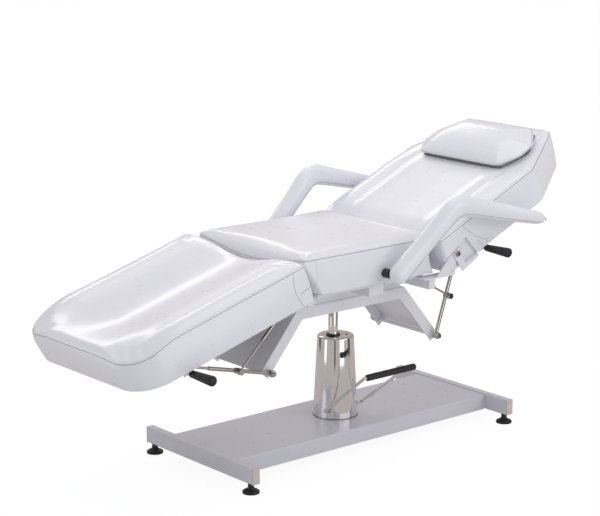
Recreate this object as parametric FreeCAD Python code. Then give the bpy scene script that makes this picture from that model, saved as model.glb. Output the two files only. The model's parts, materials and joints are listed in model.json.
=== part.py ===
"""Facial treatment bed: H-shaped base, hydraulic column, folding three-part couch.

Millimetres.  +X runs from the foot end to the head end, +Z is up, and the
near side is -Y.  The floor is Z = 0.  The pieces are drawn with X = 0 at the
middle of the base, and each is moved by BASE_MIDDLE_X as it is written, which
puts the origin on the floor under the middle of the whole bed.
"""
import FreeCAD, Part
import math
import os

V = FreeCAD.Vector
os.makedirs("parts", exist_ok=True)

# --------------------------------------------------------------------- origin
BASE_MIDDLE_X = 73.36     # middle of the base, from the middle of the bed's length

# ---------------------------------------------------------------- clearances
PIN_CLEAR = 0.05          # radial play of a pin or shaft in its bore
SLIDE_CLEAR = 0.06        # radial play of a telescoping rod in its tube
SIDE_GAP = 0.5            # air between plates that turn past each other

# ---------------------------------------------------------------------- base
BASE_LENGTH = 1060.0
BAR_WIDTH = 520.0         # length of each end bar, across the bed
BAR_THICK = 25.0
BAR_BOTTOM = 30.0
BAR_TOP = 80.0
BAR_WALL = 2.0
CAP_THICK = 4.0
CAP_PLUG = 12.0
DECK_WIDTH = 315.0
DECK_TOP = 76.0
DECK_BOTTOM = 28.0
DECK_SHEET = 3.0
FOOT_PITCH_Y = BAR_WIDTH - 50.0   # between the two levelling feet of one bar
FOOT_RADIUS = 25.0
FOOT_RIM = 6.0
FOOT_NECK_RADIUS = 9.0
FOOT_STUD_RADIUS = 4.0

# ------------------------------------------------------------- pump and lift
PUMP_X = 6.0              # axis of the conical cover
COVER_BASE_RADIUS = 69.5
COVER_TOP_RADIUS = 56.5
COVER_TOP = 332.0
COVER_WALL = 1.5
COVER_ROLL = 6.0          # radius of the rolled shoulder
RAM_X = -4.0
RAM_RADIUS = 15.0
RAM_BOTTOM = 150.0
RAM_TOP = 468.5
CYLINDER_RADIUS = 27.0
CYLINDER_TOP = 322.0
SEAL_RADIUS = 22.0
SEAL_TOP = 337.0

# --------------------------------------------------------------------- pedal
PEDAL_Y = -34.0
PEDAL_Z = 105.0
PEDAL_ROD_RADIUS = 5.0
PEDAL_LEFT_X = -67.0
PEDAL_RIGHT_X = 79.0
PEDAL_BAR_Y = -216.0
PEDAL_BAR_Z = 251.0
PEDAL_BAR_END_X = 136.0
PEDAL_FORK_X = 100.0      # where the right arm meets the foot bar
SLEEVE_RADIUS = 10.5
SLEEVE_START_X = -58.0
LUG_THICK = 6.0
LUG_XS = (-38.0, 46.0)

# ------------------------------------------------------------------ subframe
FRAME_X = -33.0           # middle of the folded channel
FRAME_TOP = 478.0
FRAME_FLANGE = 35.0
FRAME_SHEET = 3.0
FRAME_HALF_WIDTH = 122.0
FRAME_HALF_LENGTH = 213.0  # top plate, middle to fold
WING_ANGLE = 50.0
WING_LENGTH = 222.0
WING_PIN_DX = 333.0
WING_PIN_Z = 307.0
WING_PIN_RADIUS = 6.0
STAY_Y = 140.0

# ---------------------------------------------------------------- seat group
SEAT_FRONT_TOP = -333.0
SEAT_FRONT_BOTTOM = -266.0
SEAT_REAR = 205.0
SEAT_TOP = 655.0
SEAT_BOTTOM = 543.0
SEAT_HALF = 250.0
SEAT_LIP_DROP = 34.0      # where the front face starts to slant back
SEAT_LIP = 12.0
SEAT_BOARD = 9.0
SEAT_BOARD_HALF = SEAT_HALF - 20.0
SEAT_BOARD_START = -262.0
SEAT_BOARD_END = 150.0
RAIL_HEIGHT = 26.0
RAIL_WIDTH = 25.0
RAIL_Y = 105.0
RAIL_START = -235.0
RAIL_END = 165.0
SPINE_START = -250.0
SPINE_END = 140.0
CROSS_HEIGHT = 30.0
CROSS_XS = (-275.0, -60.0, 140.0)
ARM_TAB_Y = SEAT_HALF - 28.0   # inner face of the tabs that carry the armrests
ARM_TAB_THICK = 4.0
ARM_TAB_HALF = 20.0
PANEL_OVERHANG = 29.0     # how far the folding panels stand out past the seat
PANEL_HALF = SEAT_HALF + PANEL_OVERHANG
EAR_Y = PANEL_HALF - 8.0  # inner face of the rear hinge ears
EAR_THICK = 4.0
EAR_FOOT = 37.0           # how far the foot of an ear reaches inwards
EAR_START = 168.0
EAR_END = 245.0
EAR_FOOT_START = 120.0
EAR_FOOT_END = 228.0      # clear of the backrest corner as it swings
EAR_TIP = 12.0

# --------------------------------------------------------------- back group
BACK_PIVOT_X = 249.0
BACK_PIVOT_Z = 601.0
BACK_ANGLE = 24.0
BACK_TOP = 68.0           # cushion face above the pivot, along the panel normal
PANEL_THICK = 115.0
HEAD_TAPER = 97.0         # how much narrower each side is at the head corner
BACK_START = -45.0
BACK_SHOULDER = 385.0     # where the side starts to taper
BACK_HEAD_CORNER = 585.0
BACK_HEAD_HALF = PANEL_HALF - HEAD_TAPER
BACK_HEAD_END = 600.0
HEAD_END_HALF = BACK_HEAD_HALF - 32.0
SHOULDER_RADIUS = 60.0
RIM_CHAMFER = 8.0
RECESS_DEPTH = 24.0
RECESS_US = (345.0, 455.0, 540.0, 562.0)
BACK_POCKET_END = 380.0
BACK_RAIL_START = -15.0
BACK_RAIL_END = 370.0
POCKET_DEPTH = 45.0
POCKET_WALL = 22.0
BOARD_THICK = 9.0
PANEL_RAIL_Y = PANEL_HALF - 44.0
PANEL_RAIL_WIDTH = 20.0
BRACKET_END = 78.0
SEAT_REAR_RELIEF = 85.0   # radius of the hollow the backrest swings in

# ---------------------------------------------------------------- leg group
LEG_PIVOT_X = -322.0
LEG_PIVOT_Z = 590.0
LEG_ANGLE = 15.9
LEG_TOP = 65.6
LEG_END_TOP = 648.0
LEG_END_BOTTOM = 632.0
LEG_START = 8.0
LEG_CORNER = 102.0
LEG_EAR_Y = SEAT_HALF - 60.0
LEG_EAR_THICK = 6.0
CROSS_FRONT_HALF = LEG_EAR_Y + LEG_EAR_THICK + 4.0
LEG_PIN_RADIUS = 6.0
LEG_PIN_REACH = 16.0
LEG_POCKET_END = 600.0
LEG_RAIL_END = 518.0
LEG_RAIL_START = 55.0
LEG_TIP_DROP = 25.0
LEG_WATERFALL = 14.0      # how far the face has sunk at the foot end
LEG_WATERFALL_START = 540.0
LUG_NECK = 75.0
LUG_FOOT = 30.0

# -------------------------------------------------------------- stays, struts
TUBE_RADIUS = 6.0
ROD_RADIUS = 4.0
EYE_RADIUS = 11.0
EYE_WIDTH = 14.0
LEG_STAY_TOP = (-723.7, 396.5)
LEG_STAY_TUBE = 235.0
LEG_STAY_ROD = 240.0
BACK_STAY_TOP = (392.5, 581.5)
BACK_STAY_TUBE = 205.0
BACK_STAY_ROD = 215.0
TEE_AT = 130.0            # distance of the tee collar from the wing pin
STRUT_Y = 155.0
STRUT_TUBE_RADIUS = 5.0
STRUT_ROD_RADIUS = 3.0
LEG_STRUT_SEAT = (-302.0, 520.0)
LEG_STRUT_TUBE = 150.0
LEG_STRUT_ROD = 222.0
BACK_STRUT_SEAT = (190.0, 516.0)
BACK_STRUT_TUBE = 100.0
BACK_STRUT_ROD = 146.0
CHEEK_WINDOW = 22.0
CHEEK_THICK = 3.0

# ---------------------------------------------------------- release controls
LEVER_RADIUS = 6.0
LEVER_U_LEG = 459.0
LEVER_U_BACK = 127.0
LEVER_DROP = 62.0         # lever axis below the panel pivot, along the normal
LEVER_INSET = 107.0       # inner end of the lever, in from the panel's side
LEVER_REACH = 85.0        # how far the grip stands out from the panel's side
GRIP_INSET = 15.0
LEVER_INNER_Y = PANEL_HALF - LEVER_INSET
LEVER_OUTER_Y = PANEL_HALF + LEVER_REACH
GRIP_START_Y = PANEL_HALF - GRIP_INSET
GRIP_ROOT_RADIUS = 11.0
GRIP_TIP_RADIUS = 15.0

# ------------------------------------------------------------------ armrests
ARM_PIVOT_X = -22.0
ARM_PIVOT_Z = 577.0
ARM_RADIUS = 28.0
ARM_LOW_GAP = 31.0        # middle of the low end, out from the panel's side
ARM_HIGH_GAP = 59.0
ARM_LOW_Y = PANEL_HALF + ARM_LOW_GAP
ARM_HIGH_Y = PANEL_HALF + ARM_HIGH_GAP
ARM_BEND_X = 188.0
ARM_BEND_Z = 757.0
ARM_BEND_RADIUS = 75.0
ARM_TIP_X = 548.0
ARM_TIP_Z = 680.0
ARM_STUD_RADIUS = 8.0
ARM_SPACER_RADIUS = 14.0
ARM_STUD_BITE = 12.0      # how far the stud goes past the armrest's middle

# -------------------------------------------------------------------- pillow
PILLOW_GAP = 0.3
PILLOW_BASE = 45.0
PILLOW_THICK = 42.0
PILLOW_US = (352.0, 455.0, 533.0, 553.0)
PILLOW_SHIFT = 12.0       # the pad overhangs its base towards the couch
PILLOW_OVERHANG = 4.0
PILLOW_BEVEL = 14.0


# =================================================================== helpers
def box(x0, x1, y0, y1, z0, z1):
    """A box given by its limits."""
    return Part.makeBox(x1 - x0, y1 - y0, z1 - z0, V(x0, y0, z0))


def rod(start, end, radius):
    """A round bar between two points."""
    along = end.sub(start)
    return Part.makeCylinder(radius, along.Length, start, along)


def pin_y(x, z, y0, y1, radius):
    """A round bar along Y."""
    return rod(V(x, y0, z), V(x, y1, z), radius)


def polygon_y(points, y0, y1):
    """A flat plate in the XZ plane with its thickness along Y."""
    corners = [V(x, y0, z) for x, z in points]
    face = Part.Face(Part.makePolygon(corners + corners[:1]))
    return face.extrude(V(0, y1 - y0, 0))


def polygon_z(points, z0, z1):
    """A flat plate in plan with its thickness along Z."""
    corners = [V(x, y, z0) for x, y in points]
    face = Part.Face(Part.makePolygon(corners + corners[:1]))
    return face.extrude(V(0, 0, z1 - z0))


def fused(shapes):
    """One solid from several that overlap or touch."""
    first = shapes[0]
    return first.multiFuse(shapes[1:]).removeSplitter()


def mirrored(half_plan):
    """A closed plan outline from its +Y half, listed from start to end."""
    return half_plan + [(x, -y) for x, y in reversed(half_plan)]


def upright_edges(shape, picks, reach=1.0):
    """The vertical edges that stand on the given plan points."""
    found = []
    for edge in shape.Edges:
        a, b = edge.Vertexes[0].Point, edge.Vertexes[-1].Point
        upright = abs(a.x - b.x) < 0.01 and abs(a.y - b.y) < 0.01
        if upright and any(abs(a.x - x) < reach and abs(a.y - y) < reach for x, y in picks):
            found.append(edge)
    return found


def flat_edges(shape, z):
    """The edges that lie wholly in the plane at height z."""
    return [e for e in shape.Edges if all(abs(v.Z - z) < 0.01 for v in e.Vertexes)]


def tilted(shape, pivot_x, pivot_z, degrees):
    """A panel shape built level round its pivot, put in its resting tilt."""
    placed = shape.copy()
    placed.rotate(V(0, 0, 0), V(0, 1, 0), -degrees)
    placed.translate(V(pivot_x, 0, pivot_z))
    return placed


def on_back(shape):
    """Put a backrest shape in place."""
    return tilted(shape, BACK_PIVOT_X, BACK_PIVOT_Z, BACK_ANGLE)


def on_leg(shape):
    """Put a leg-rest shape in place."""
    return tilted(shape, LEG_PIVOT_X, LEG_PIVOT_Z, LEG_ANGLE)


def local(point, pivot_x, pivot_z, degrees):
    """The place of a point in the frame of a tilted panel."""
    c, s = math.cos(math.radians(degrees)), math.sin(math.radians(degrees))
    dx, dz = point[0] - pivot_x, point[1] - pivot_z
    return dx * c + dz * s, -dx * s + dz * c


parts = {}


def keep(name, shape):
    """Store one finished piece under its node name."""
    parts[name] = shape


SIDES = (("near", -1), ("far", 1))


# ====================================================================== base
def build_base():
    """End bars with plugs and feet, and the folded deck between them."""
    half = BASE_LENGTH / 2
    tube_half = BAR_WIDTH / 2 - CAP_THICK
    for end, sx in (("foot", -1), ("head", 1)):
        x_mid = sx * (half - BAR_THICK / 2)
        x0, x1 = x_mid - BAR_THICK / 2, x_mid + BAR_THICK / 2
        bar = box(x0, x1, -tube_half, tube_half, BAR_BOTTOM, BAR_TOP)
        bar = bar.makeFillet(3.0, [e for e in bar.Edges if e.Length > 2 * tube_half - 1])
        bore = box(x0 + BAR_WALL, x1 - BAR_WALL, -tube_half, tube_half,
                   BAR_BOTTOM + BAR_WALL, BAR_TOP - BAR_WALL)
        bar = bar.cut(bore)
        for side, sy in SIDES:
            y_foot = sy * FOOT_PITCH_Y / 2
            hole = rod(V(x_mid, y_foot, BAR_BOTTOM - 1), V(x_mid, y_foot, BAR_BOTTOM + 3),
                       FOOT_STUD_RADIUS + 0.3)
            bar = bar.cut(hole)
            keep(f"base_cap_{end}_{side}", build_cap(x0, x1, sy, tube_half))
            keep(f"base_foot_{end}_{side}", build_foot(x_mid, y_foot))
        keep(f"base_bar_{end}", bar)
    keep("base_deck", build_deck(half - BAR_THICK))


def build_cap(x0, x1, sy, tube_half):
    """A plug closing one end of a bar."""
    y_in, y_out = sy * tube_half, sy * (tube_half + CAP_THICK)
    plate = box(x0, x1, min(y_in, y_out), max(y_in, y_out), BAR_BOTTOM, BAR_TOP)
    plate = plate.makeFillet(1.5, flat_edges(plate, BAR_TOP) + flat_edges(plate, BAR_BOTTOM))
    y_deep = sy * (tube_half - CAP_PLUG)
    inset = BAR_WALL + 0.2
    plug = box(x0 + inset, x1 - inset, min(y_in, y_deep), max(y_in, y_deep),
               BAR_BOTTOM + inset, BAR_TOP - inset)
    return fused([plate, plug])


def build_foot(x, y):
    """A levelling foot: disc, swept neck and threaded stud."""
    profile = [(0, 0), (FOOT_RADIUS, 0), (FOOT_RADIUS, FOOT_RIM), (FOOT_RADIUS - 4, FOOT_RIM + 3),
               (FOOT_NECK_RADIUS + 3, FOOT_RIM + 7), (FOOT_NECK_RADIUS, FOOT_RIM + 12),
               (FOOT_NECK_RADIUS, BAR_BOTTOM), (FOOT_STUD_RADIUS, BAR_BOTTOM),
               (FOOT_STUD_RADIUS, BAR_BOTTOM + 14), (0, BAR_BOTTOM + 14)]
    corners = [V(x + r, y, z) for r, z in profile]
    face = Part.Face(Part.makePolygon(corners + corners[:1]))
    return face.revolve(V(x, y, 0), V(0, 0, 1), 360)


def build_deck(half_length):
    """The folded channel that joins the bars."""
    half = DECK_WIDTH / 2
    outer = box(-half_length, half_length, -half, half, DECK_BOTTOM, DECK_TOP)
    edges = [e for e in flat_edges(outer, DECK_TOP) if e.Length > 2 * half_length - 1]
    outer = outer.makeFillet(4.0, edges)
    inner = box(-half_length, half_length, -half + DECK_SHEET, half - DECK_SHEET,
                DECK_BOTTOM - 1, DECK_TOP - DECK_SHEET)
    return outer.cut(inner)


# ============================================================= pump and lift
def build_pump():
    """Conical cover, cylinder, seal, pedal lugs and the lifting ram."""
    axis = V(PUMP_X, 0, 0)
    slope = (COVER_BASE_RADIUS - COVER_TOP_RADIUS) / (COVER_TOP - DECK_TOP)
    skin = cover_profile(0.0, slope).cut(cover_profile(COVER_WALL, slope))
    skin.translate(axis)
    mouth = rod(V(RAM_X, 0, COVER_TOP - 10), V(RAM_X, 0, COVER_TOP + 5), SEAL_RADIUS + 0.3)
    ends = [V(PUMP_X + side * (COVER_BASE_RADIUS + 20), PEDAL_Y, PEDAL_Z) for side in (-1, 1)]
    shaft_way = rod(ends[0], ends[1], PEDAL_ROD_RADIUS + 2.0)
    keep("pump_cover", skin.cut(mouth).cut(shaft_way))

    cylinder = rod(V(RAM_X, 0, DECK_TOP), V(RAM_X, 0, CYLINDER_TOP), CYLINDER_RADIUS)
    bore = rod(V(RAM_X, 0, DECK_TOP + 10), V(RAM_X, 0, CYLINDER_TOP + 1), RAM_RADIUS + PIN_CLEAR)
    keep("pump_cylinder", cylinder.cut(bore))

    seal = rod(V(RAM_X, 0, CYLINDER_TOP), V(RAM_X, 0, SEAL_TOP), SEAL_RADIUS)
    seal = seal.makeChamfer(2.5, flat_edges(seal, SEAL_TOP))
    throat = rod(V(RAM_X, 0, CYLINDER_TOP - 1), V(RAM_X, 0, SEAL_TOP + 1), RAM_RADIUS + PIN_CLEAR)
    keep("pump_seal", seal.cut(throat))

    for name, x in (("left", LUG_XS[0]), ("right", LUG_XS[1])):
        lug = box(x - LUG_THICK / 2, x + LUG_THICK / 2, PEDAL_Y - 10, PEDAL_Y + 10,
                  DECK_TOP, PEDAL_Z + 11)
        eye = rod(V(x - 5, PEDAL_Y, PEDAL_Z), V(x + 5, PEDAL_Y, PEDAL_Z),
                  PEDAL_ROD_RADIUS + PIN_CLEAR)
        keep(f"pedal_lug_{name}", lug.cut(eye))

    ram = rod(V(RAM_X, 0, RAM_BOTTOM), V(RAM_X, 0, RAM_TOP), RAM_RADIUS)
    keep("lift_ram", ram.makeChamfer(1.0, flat_edges(ram, RAM_TOP)))


def cover_profile(inset, slope):
    """The solid of revolution of the cover, shrunk by a wall thickness."""
    base_r, top_r = COVER_BASE_RADIUS - inset, COVER_TOP_RADIUS - inset
    z_top = COVER_TOP - inset
    z_base = DECK_TOP if inset == 0 else DECK_TOP - 1
    roll = COVER_ROLL - inset
    r_roll = top_r + slope * roll
    start = V(r_roll, 0, z_top - roll)
    middle = V(r_roll - roll * 0.293, 0, z_top - roll * 0.293)
    end = V(r_roll - roll, 0, z_top)
    edges = [Part.makeLine(V(0, 0, z_base), V(base_r, 0, z_base)),
             Part.makeLine(V(base_r, 0, z_base), start),
             Part.Arc(start, middle, end).toShape(),
             Part.makeLine(end, V(0, 0, z_top)),
             Part.makeLine(V(0, 0, z_top), V(0, 0, z_base))]
    face = Part.Face(Part.Wire(edges))
    return face.revolve(V(0, 0, 0), V(0, 0, 1), 360)


def build_pedal():
    """The U-shaped pedal rod and the rubber sleeve on its foot bar."""
    radius = PEDAL_ROD_RADIUS
    left = V(PEDAL_LEFT_X, PEDAL_Y, PEDAL_Z)
    right = V(PEDAL_RIGHT_X, PEDAL_Y, PEDAL_Z)
    foot_left = V(PEDAL_LEFT_X, PEDAL_BAR_Y, PEDAL_BAR_Z)
    fork = V(PEDAL_FORK_X, PEDAL_BAR_Y, PEDAL_BAR_Z)
    foot_right = V(PEDAL_BAR_END_X, PEDAL_BAR_Y, PEDAL_BAR_Z)
    right_arm = rod(right, fork, radius)
    pieces = [rod(left, right, radius), rod(left, foot_left, radius), right_arm,
              rod(foot_left, foot_right, radius)]
    pieces += [Part.makeSphere(radius, p) for p in (left, right, foot_left)]
    keep("pedal_rod", fused(pieces))

    start = V(SLEEVE_START_X, PEDAL_BAR_Y, PEDAL_BAR_Z)
    end = V(PEDAL_BAR_END_X + 4, PEDAL_BAR_Y, PEDAL_BAR_Z)
    sleeve = rod(start, end, SLEEVE_RADIUS)
    sleeve = sleeve.makeFillet(3.0, [e for e in sleeve.Edges if e.Closed])
    bore = rod(start.add(V(-1, 0, 0)), foot_right.add(V(0.1, 0, 0)), radius + PIN_CLEAR)
    notch = rod(right, fork, radius + 0.2)
    keep("pedal_sleeve", sleeve.cut(bore).cut(notch))


# ================================================================== subframe
def build_subframe():
    """The folded channel with its two wings, its ram socket and wing pins."""
    angle = math.radians(WING_ANGLE)
    knee = FRAME_HALF_LENGTH
    tip_x = knee + WING_LENGTH * math.cos(angle)
    tip_z = FRAME_TOP - WING_LENGTH * math.sin(angle)
    inner_knee = knee - FRAME_FLANGE * math.tan(angle / 2)
    in_x = -FRAME_FLANGE * math.sin(angle)
    in_z = -FRAME_FLANGE * math.cos(angle)
    skin = [(-tip_x, tip_z), (-knee, FRAME_TOP), (knee, FRAME_TOP), (tip_x, tip_z)]
    inside = [(tip_x + in_x, tip_z + in_z), (inner_knee, FRAME_TOP - FRAME_FLANGE),
              (-inner_knee, FRAME_TOP - FRAME_FLANGE), (-tip_x - in_x, tip_z + in_z)]
    outline = [(FRAME_X + x, z) for x, z in skin + inside]
    half = FRAME_HALF_WIDTH
    body = polygon_y(outline, -half, half)
    t = FRAME_SHEET
    cut_knee = knee - t * math.tan(angle / 2)
    shift = V(-t * math.sin(angle), 0, -t * math.cos(angle))
    far_x, far_z = tip_x + 60 * math.cos(angle), tip_z - 60 * math.sin(angle)
    hollow = [(-far_x - shift.x, far_z + shift.z), (-cut_knee, FRAME_TOP - t),
              (cut_knee, FRAME_TOP - t), (far_x + shift.x, far_z + shift.z)]
    cavity = polygon_y([(FRAME_X + x, z) for x, z in hollow], -half + t, half - t)
    channel = body.cut(cavity)
    for name, sign in (("leg", -1), ("back", 1)):
        x = FRAME_X + sign * WING_PIN_DX
        way = pin_y(x, WING_PIN_Z, -half - 5, half + 5, WING_PIN_RADIUS + PIN_CLEAR)
        channel = channel.cut(way)
        keep(f"wing_pin_{name}", build_wing_pin(x))
    keep("subframe_channel", channel)

    plate = box(RAM_X - 60, RAM_X + 60, -60, 60, FRAME_TOP - t - 6, FRAME_TOP - t)
    tube = rod(V(RAM_X, 0, FRAME_TOP - FRAME_FLANGE + 4), V(RAM_X, 0, FRAME_TOP - t - 6), 24)
    bore = rod(V(RAM_X, 0, RAM_TOP - 60), V(RAM_X, 0, RAM_TOP + 0.3), RAM_RADIUS + PIN_CLEAR)
    keep("ram_socket", fused([plate, tube]).cut(bore))


def build_wing_pin(x):
    """The long pin through both flanges of one wing, with spacers and heads."""
    z = WING_PIN_Z
    half = FRAME_HALF_WIDTH
    out = STAY_Y + EYE_WIDTH / 2 + SIDE_GAP
    pieces = [pin_y(x, z, -out - 5, out + 5, WING_PIN_RADIUS)]
    for _, sy in SIDES:
        pieces.append(pin_y(x, z, sy * half, sy * (STAY_Y - EYE_WIDTH / 2 - SIDE_GAP), 9.0))
        pieces.append(pin_y(x, z, sy * out, sy * (out + 5), 9.5))
        pieces.append(pin_y(x, z, sy * (half - FRAME_SHEET), sy * (half - FRAME_SHEET - 6), 9.0))
    return fused(pieces)


# ================================================================ seat group
def build_seat():
    """Welded seat frame, board, cushion, rear ears and armrest studs."""
    z0, z1 = FRAME_TOP, FRAME_TOP + RAIL_HEIGHT
    z2 = z1 + CROSS_HEIGHT
    reach = RAIL_WIDTH / 2
    tab_out = ARM_TAB_Y + ARM_TAB_THICK
    halves = (CROSS_FRONT_HALF, tab_out, EAR_Y + EAR_THICK - 1)
    pieces = [box(x, x + RAIL_WIDTH, -half, half, z1, z2) for x, half in zip(CROSS_XS, halves)]
    for _, sy in SIDES:
        y0, y1 = sy * RAIL_Y - reach, sy * RAIL_Y + reach
        pieces.append(box(RAIL_START, RAIL_END, y0, y1, z0, z1))
        pieces.append(box(SPINE_START, SPINE_END, y0, y1, z1, z2))
    for side, sy in SIDES:
        pieces += leg_ear(sy, z1, z2)
        arm_tab_y = sorted((sy * ARM_TAB_Y, sy * tab_out))
        x0, x1 = ARM_PIVOT_X - ARM_TAB_HALF, ARM_PIVOT_X + ARM_TAB_HALF
        pieces.append(box(x0, x1, *arm_tab_y, z1, ARM_PIVOT_Z + ARM_TAB_HALF))
        pieces.append(box(CROSS_XS[1], x1, *arm_tab_y, z1, z2))
        keep(f"arm_stud_{side}", arm_stud(sy))
        keep(f"seat_ear_{side}", seat_ear(sy, z2))
    pieces += strut_lugs(z1, z2)
    frame = fused(pieces)
    for _, sy in SIDES:
        ends = sorted((sy * (ARM_TAB_Y - 4), sy * (tab_out + 4)))
        frame = frame.cut(pin_y(ARM_PIVOT_X, ARM_PIVOT_Z, *ends, ARM_STUD_RADIUS))
    keep("seat_frame", frame)

    half = SEAT_BOARD_HALF
    board = box(SEAT_BOARD_START, SEAT_BOARD_END, -half, half, z2, z2 + SEAT_BOARD)
    slot = ARM_TAB_HALF + 1
    for _, sy in SIDES:
        ys = sorted((sy * (ARM_TAB_Y - 1), sy * (half + 10)))
        board = board.cut(box(ARM_PIVOT_X - slot, ARM_PIVOT_X + slot, *ys, z2 - 1,
                              z2 + SEAT_BOARD + 11))
    keep("seat_board", board)
    keep("seat_cushion", seat_cushion())


def leg_ear(sy, z1, z2):
    """The lug that carries the leg-rest hinge on one side, with its pin."""
    y0 = sy * LEG_EAR_Y
    y1 = sy * (LEG_EAR_Y + LEG_EAR_THICK)
    x, z = LEG_PIVOT_X, LEG_PIVOT_Z
    root = CROSS_XS[0] + RAIL_WIDTH
    outline = [(root, z1), (root, z2), (root - 42, z2), (x + 14, z + 2), (x + 8, z + 12),
               (x - 8, z + 12), (x - 14, z), (x - 8, z - 22), (x + 2, z1 + 10), (root - 40, z1)]
    plate = polygon_y(outline, min(y0, y1), max(y0, y1))
    return [plate, pin_y(x, z, y0, sy * (LEG_EAR_Y + LEG_PIN_REACH), LEG_PIN_RADIUS)]


def strut_lugs(z1, z2):
    """The two near-side lugs that hold the assist struts."""
    y_in, y_out = -STRUT_Y + 8, -STRUT_Y + 12
    x, z = LEG_STRUT_SEAT
    front = CROSS_XS[0]
    leg = polygon_y([(front, z1), (front, z2 - 4), (x - 8, z + 8), (x - 8, z - 8)], y_in, y_out)
    bx, bz = BACK_STRUT_SEAT
    rear = CROSS_XS[2] + RAIL_WIDTH - 5
    back = polygon_y([(rear, z1), (bx + 8, bz - 8), (bx + 8, bz + 8), (rear, z2)], y_in, y_out)
    pins = [pin_y(px, pz, y_out, -STRUT_Y - 6, 4.0) for px, pz in (LEG_STRUT_SEAT, BACK_STRUT_SEAT)]
    return [leg, back] + pins


def seat_ear(sy, z2):
    """The bent plate at the rear corner that carries the backrest pivot."""
    x, z = BACK_PIVOT_X, BACK_PIVOT_Z
    y0, y1 = sy * EAR_Y, sy * (EAR_Y + EAR_THICK)
    t = EAR_TIP
    outline = [(EAR_START, z2), (EAR_END, z2), (x + 4, z - t), (x + t, z - 4), (x + t, z + 6),
               (x + 4, z + t + 1), (x - 6, z + t + 1), (x - t - 1, z + 6)]
    plate = polygon_y(outline, min(y0, y1), max(y0, y1))
    foot_y = sorted((sy * (EAR_Y - EAR_FOOT), y1))
    foot = box(EAR_FOOT_START, EAR_FOOT_END, *foot_y, z2, z2 + EAR_THICK)
    outer = sy * (EAR_Y + EAR_THICK + SIDE_GAP + 4 + SIDE_GAP)
    pin = pin_y(x, z, y1, outer, 6.0)
    head = pin_y(x, z, outer, outer + sy * 4, 9.5)
    return fused([plate, foot, pin, head])


def arm_stud(sy):
    """The pivot of one armrest: threaded end, spacer and bearing."""
    x, z = ARM_PIVOT_X, ARM_PIVOT_Z
    tab_out = ARM_TAB_Y + ARM_TAB_THICK
    spacer_end = ARM_LOW_Y - ARM_RADIUS - SIDE_GAP
    pieces = [pin_y(x, z, sy * ARM_TAB_Y, sy * (ARM_LOW_Y + ARM_STUD_BITE), ARM_STUD_RADIUS),
              pin_y(x, z, sy * tab_out, sy * spacer_end, ARM_SPACER_RADIUS)]
    return fused(pieces)


def seat_cushion():
    """The upholstered seat, hollowed for its frame and for the backrest."""
    profile = [(SEAT_FRONT_BOTTOM, SEAT_BOTTOM), (SEAT_REAR, SEAT_BOTTOM), (SEAT_REAR, SEAT_TOP),
               (SEAT_FRONT_TOP + SEAT_LIP, SEAT_TOP), (SEAT_FRONT_TOP, SEAT_TOP - SEAT_LIP),
               (SEAT_FRONT_TOP + 6, SEAT_TOP - SEAT_LIP_DROP)]
    cushion = polygon_y(profile, -SEAT_HALF, SEAT_HALF)
    swing = pin_y(BACK_PIVOT_X, BACK_PIVOT_Z, -SEAT_HALF - 5, SEAT_HALF + 5, SEAT_REAR_RELIEF)
    cushion = cushion.cut(swing)
    room = ARM_TAB_HALF + 1
    tab_out = ARM_TAB_Y + ARM_TAB_THICK
    for _, sy in SIDES:
        ys = sorted((sy * (ARM_TAB_Y - 1), sy * (tab_out + 1)))
        slot = box(ARM_PIVOT_X - room, ARM_PIVOT_X + room, *ys, SEAT_BOTTOM - 1,
                   ARM_PIVOT_Z + room)
        ways = sorted((sy * tab_out, sy * (SEAT_HALF + 5)))
        way = pin_y(ARM_PIVOT_X, ARM_PIVOT_Z, *ways, ARM_SPACER_RADIUS + 0.2)
        relief = sorted((sy * (ARM_TAB_Y - 4), sy * (ARM_TAB_Y + 2)))
        tail = pin_y(ARM_PIVOT_X, ARM_PIVOT_Z, *relief, ARM_STUD_RADIUS + 0.2)
        cushion = cushion.cut(slot).cut(way).cut(tail)
    return cushion


# ======================================================== telescoping members
def stay_frame(low, high):
    """Unit vector and length from the low end to the high end of a stay."""
    start, end = V(low[0], 0, low[1]), V(high[0], 0, high[1])
    along = end.sub(start)
    return start, along.normalize(), end.sub(start).Length


def tube_piece(low, high, y, length, radius, bore, eye, pin):
    """The lower member: an eye on its pin and a tube bored from the top."""
    start, along, _ = stay_frame(low, high)
    start = V(start.x, y, start.z)
    half = EYE_WIDTH / 2
    ring = pin_y(start.x, start.z, y - half, y + half, eye)
    body = rod(start, start.add(V(along).multiply(length)), radius)
    hollow = rod(start.add(V(along).multiply(eye + 1)),
                 start.add(V(along).multiply(length + 1)), bore)
    hole = pin_y(start.x, start.z, y - half - 1, y + half + 1, pin + PIN_CLEAR)
    return fused([ring, body]).cut(hollow).cut(hole)


def leg_stay_low():
    """The wing pin of the leg side."""
    return FRAME_X - WING_PIN_DX, WING_PIN_Z


def back_stay_low():
    """The wing pin of the head side."""
    return FRAME_X + WING_PIN_DX, WING_PIN_Z


def stay_rod(low, high, y, length):
    """The sliding rod of a stay with its eye and cross pin at the panel."""
    start, along, total = stay_frame(low, high)
    start = V(start.x, y, start.z)
    end = start.add(V(along).multiply(total))
    bottom = start.add(V(along).multiply(total - length))
    pieces = [rod(bottom, end, ROD_RADIUS), pin_y(end.x, end.z, y - 5, y + 5, 8.0),
              pin_y(end.x, end.z, y - 14, y + 14, 4.0)]
    return fused(pieces)


def tee_point(low, high):
    """Where the tee collar sits on a stay."""
    start, along, _ = stay_frame(low, high)
    point = start.add(V(along).multiply(TEE_AT))
    return point.x, point.z


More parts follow.
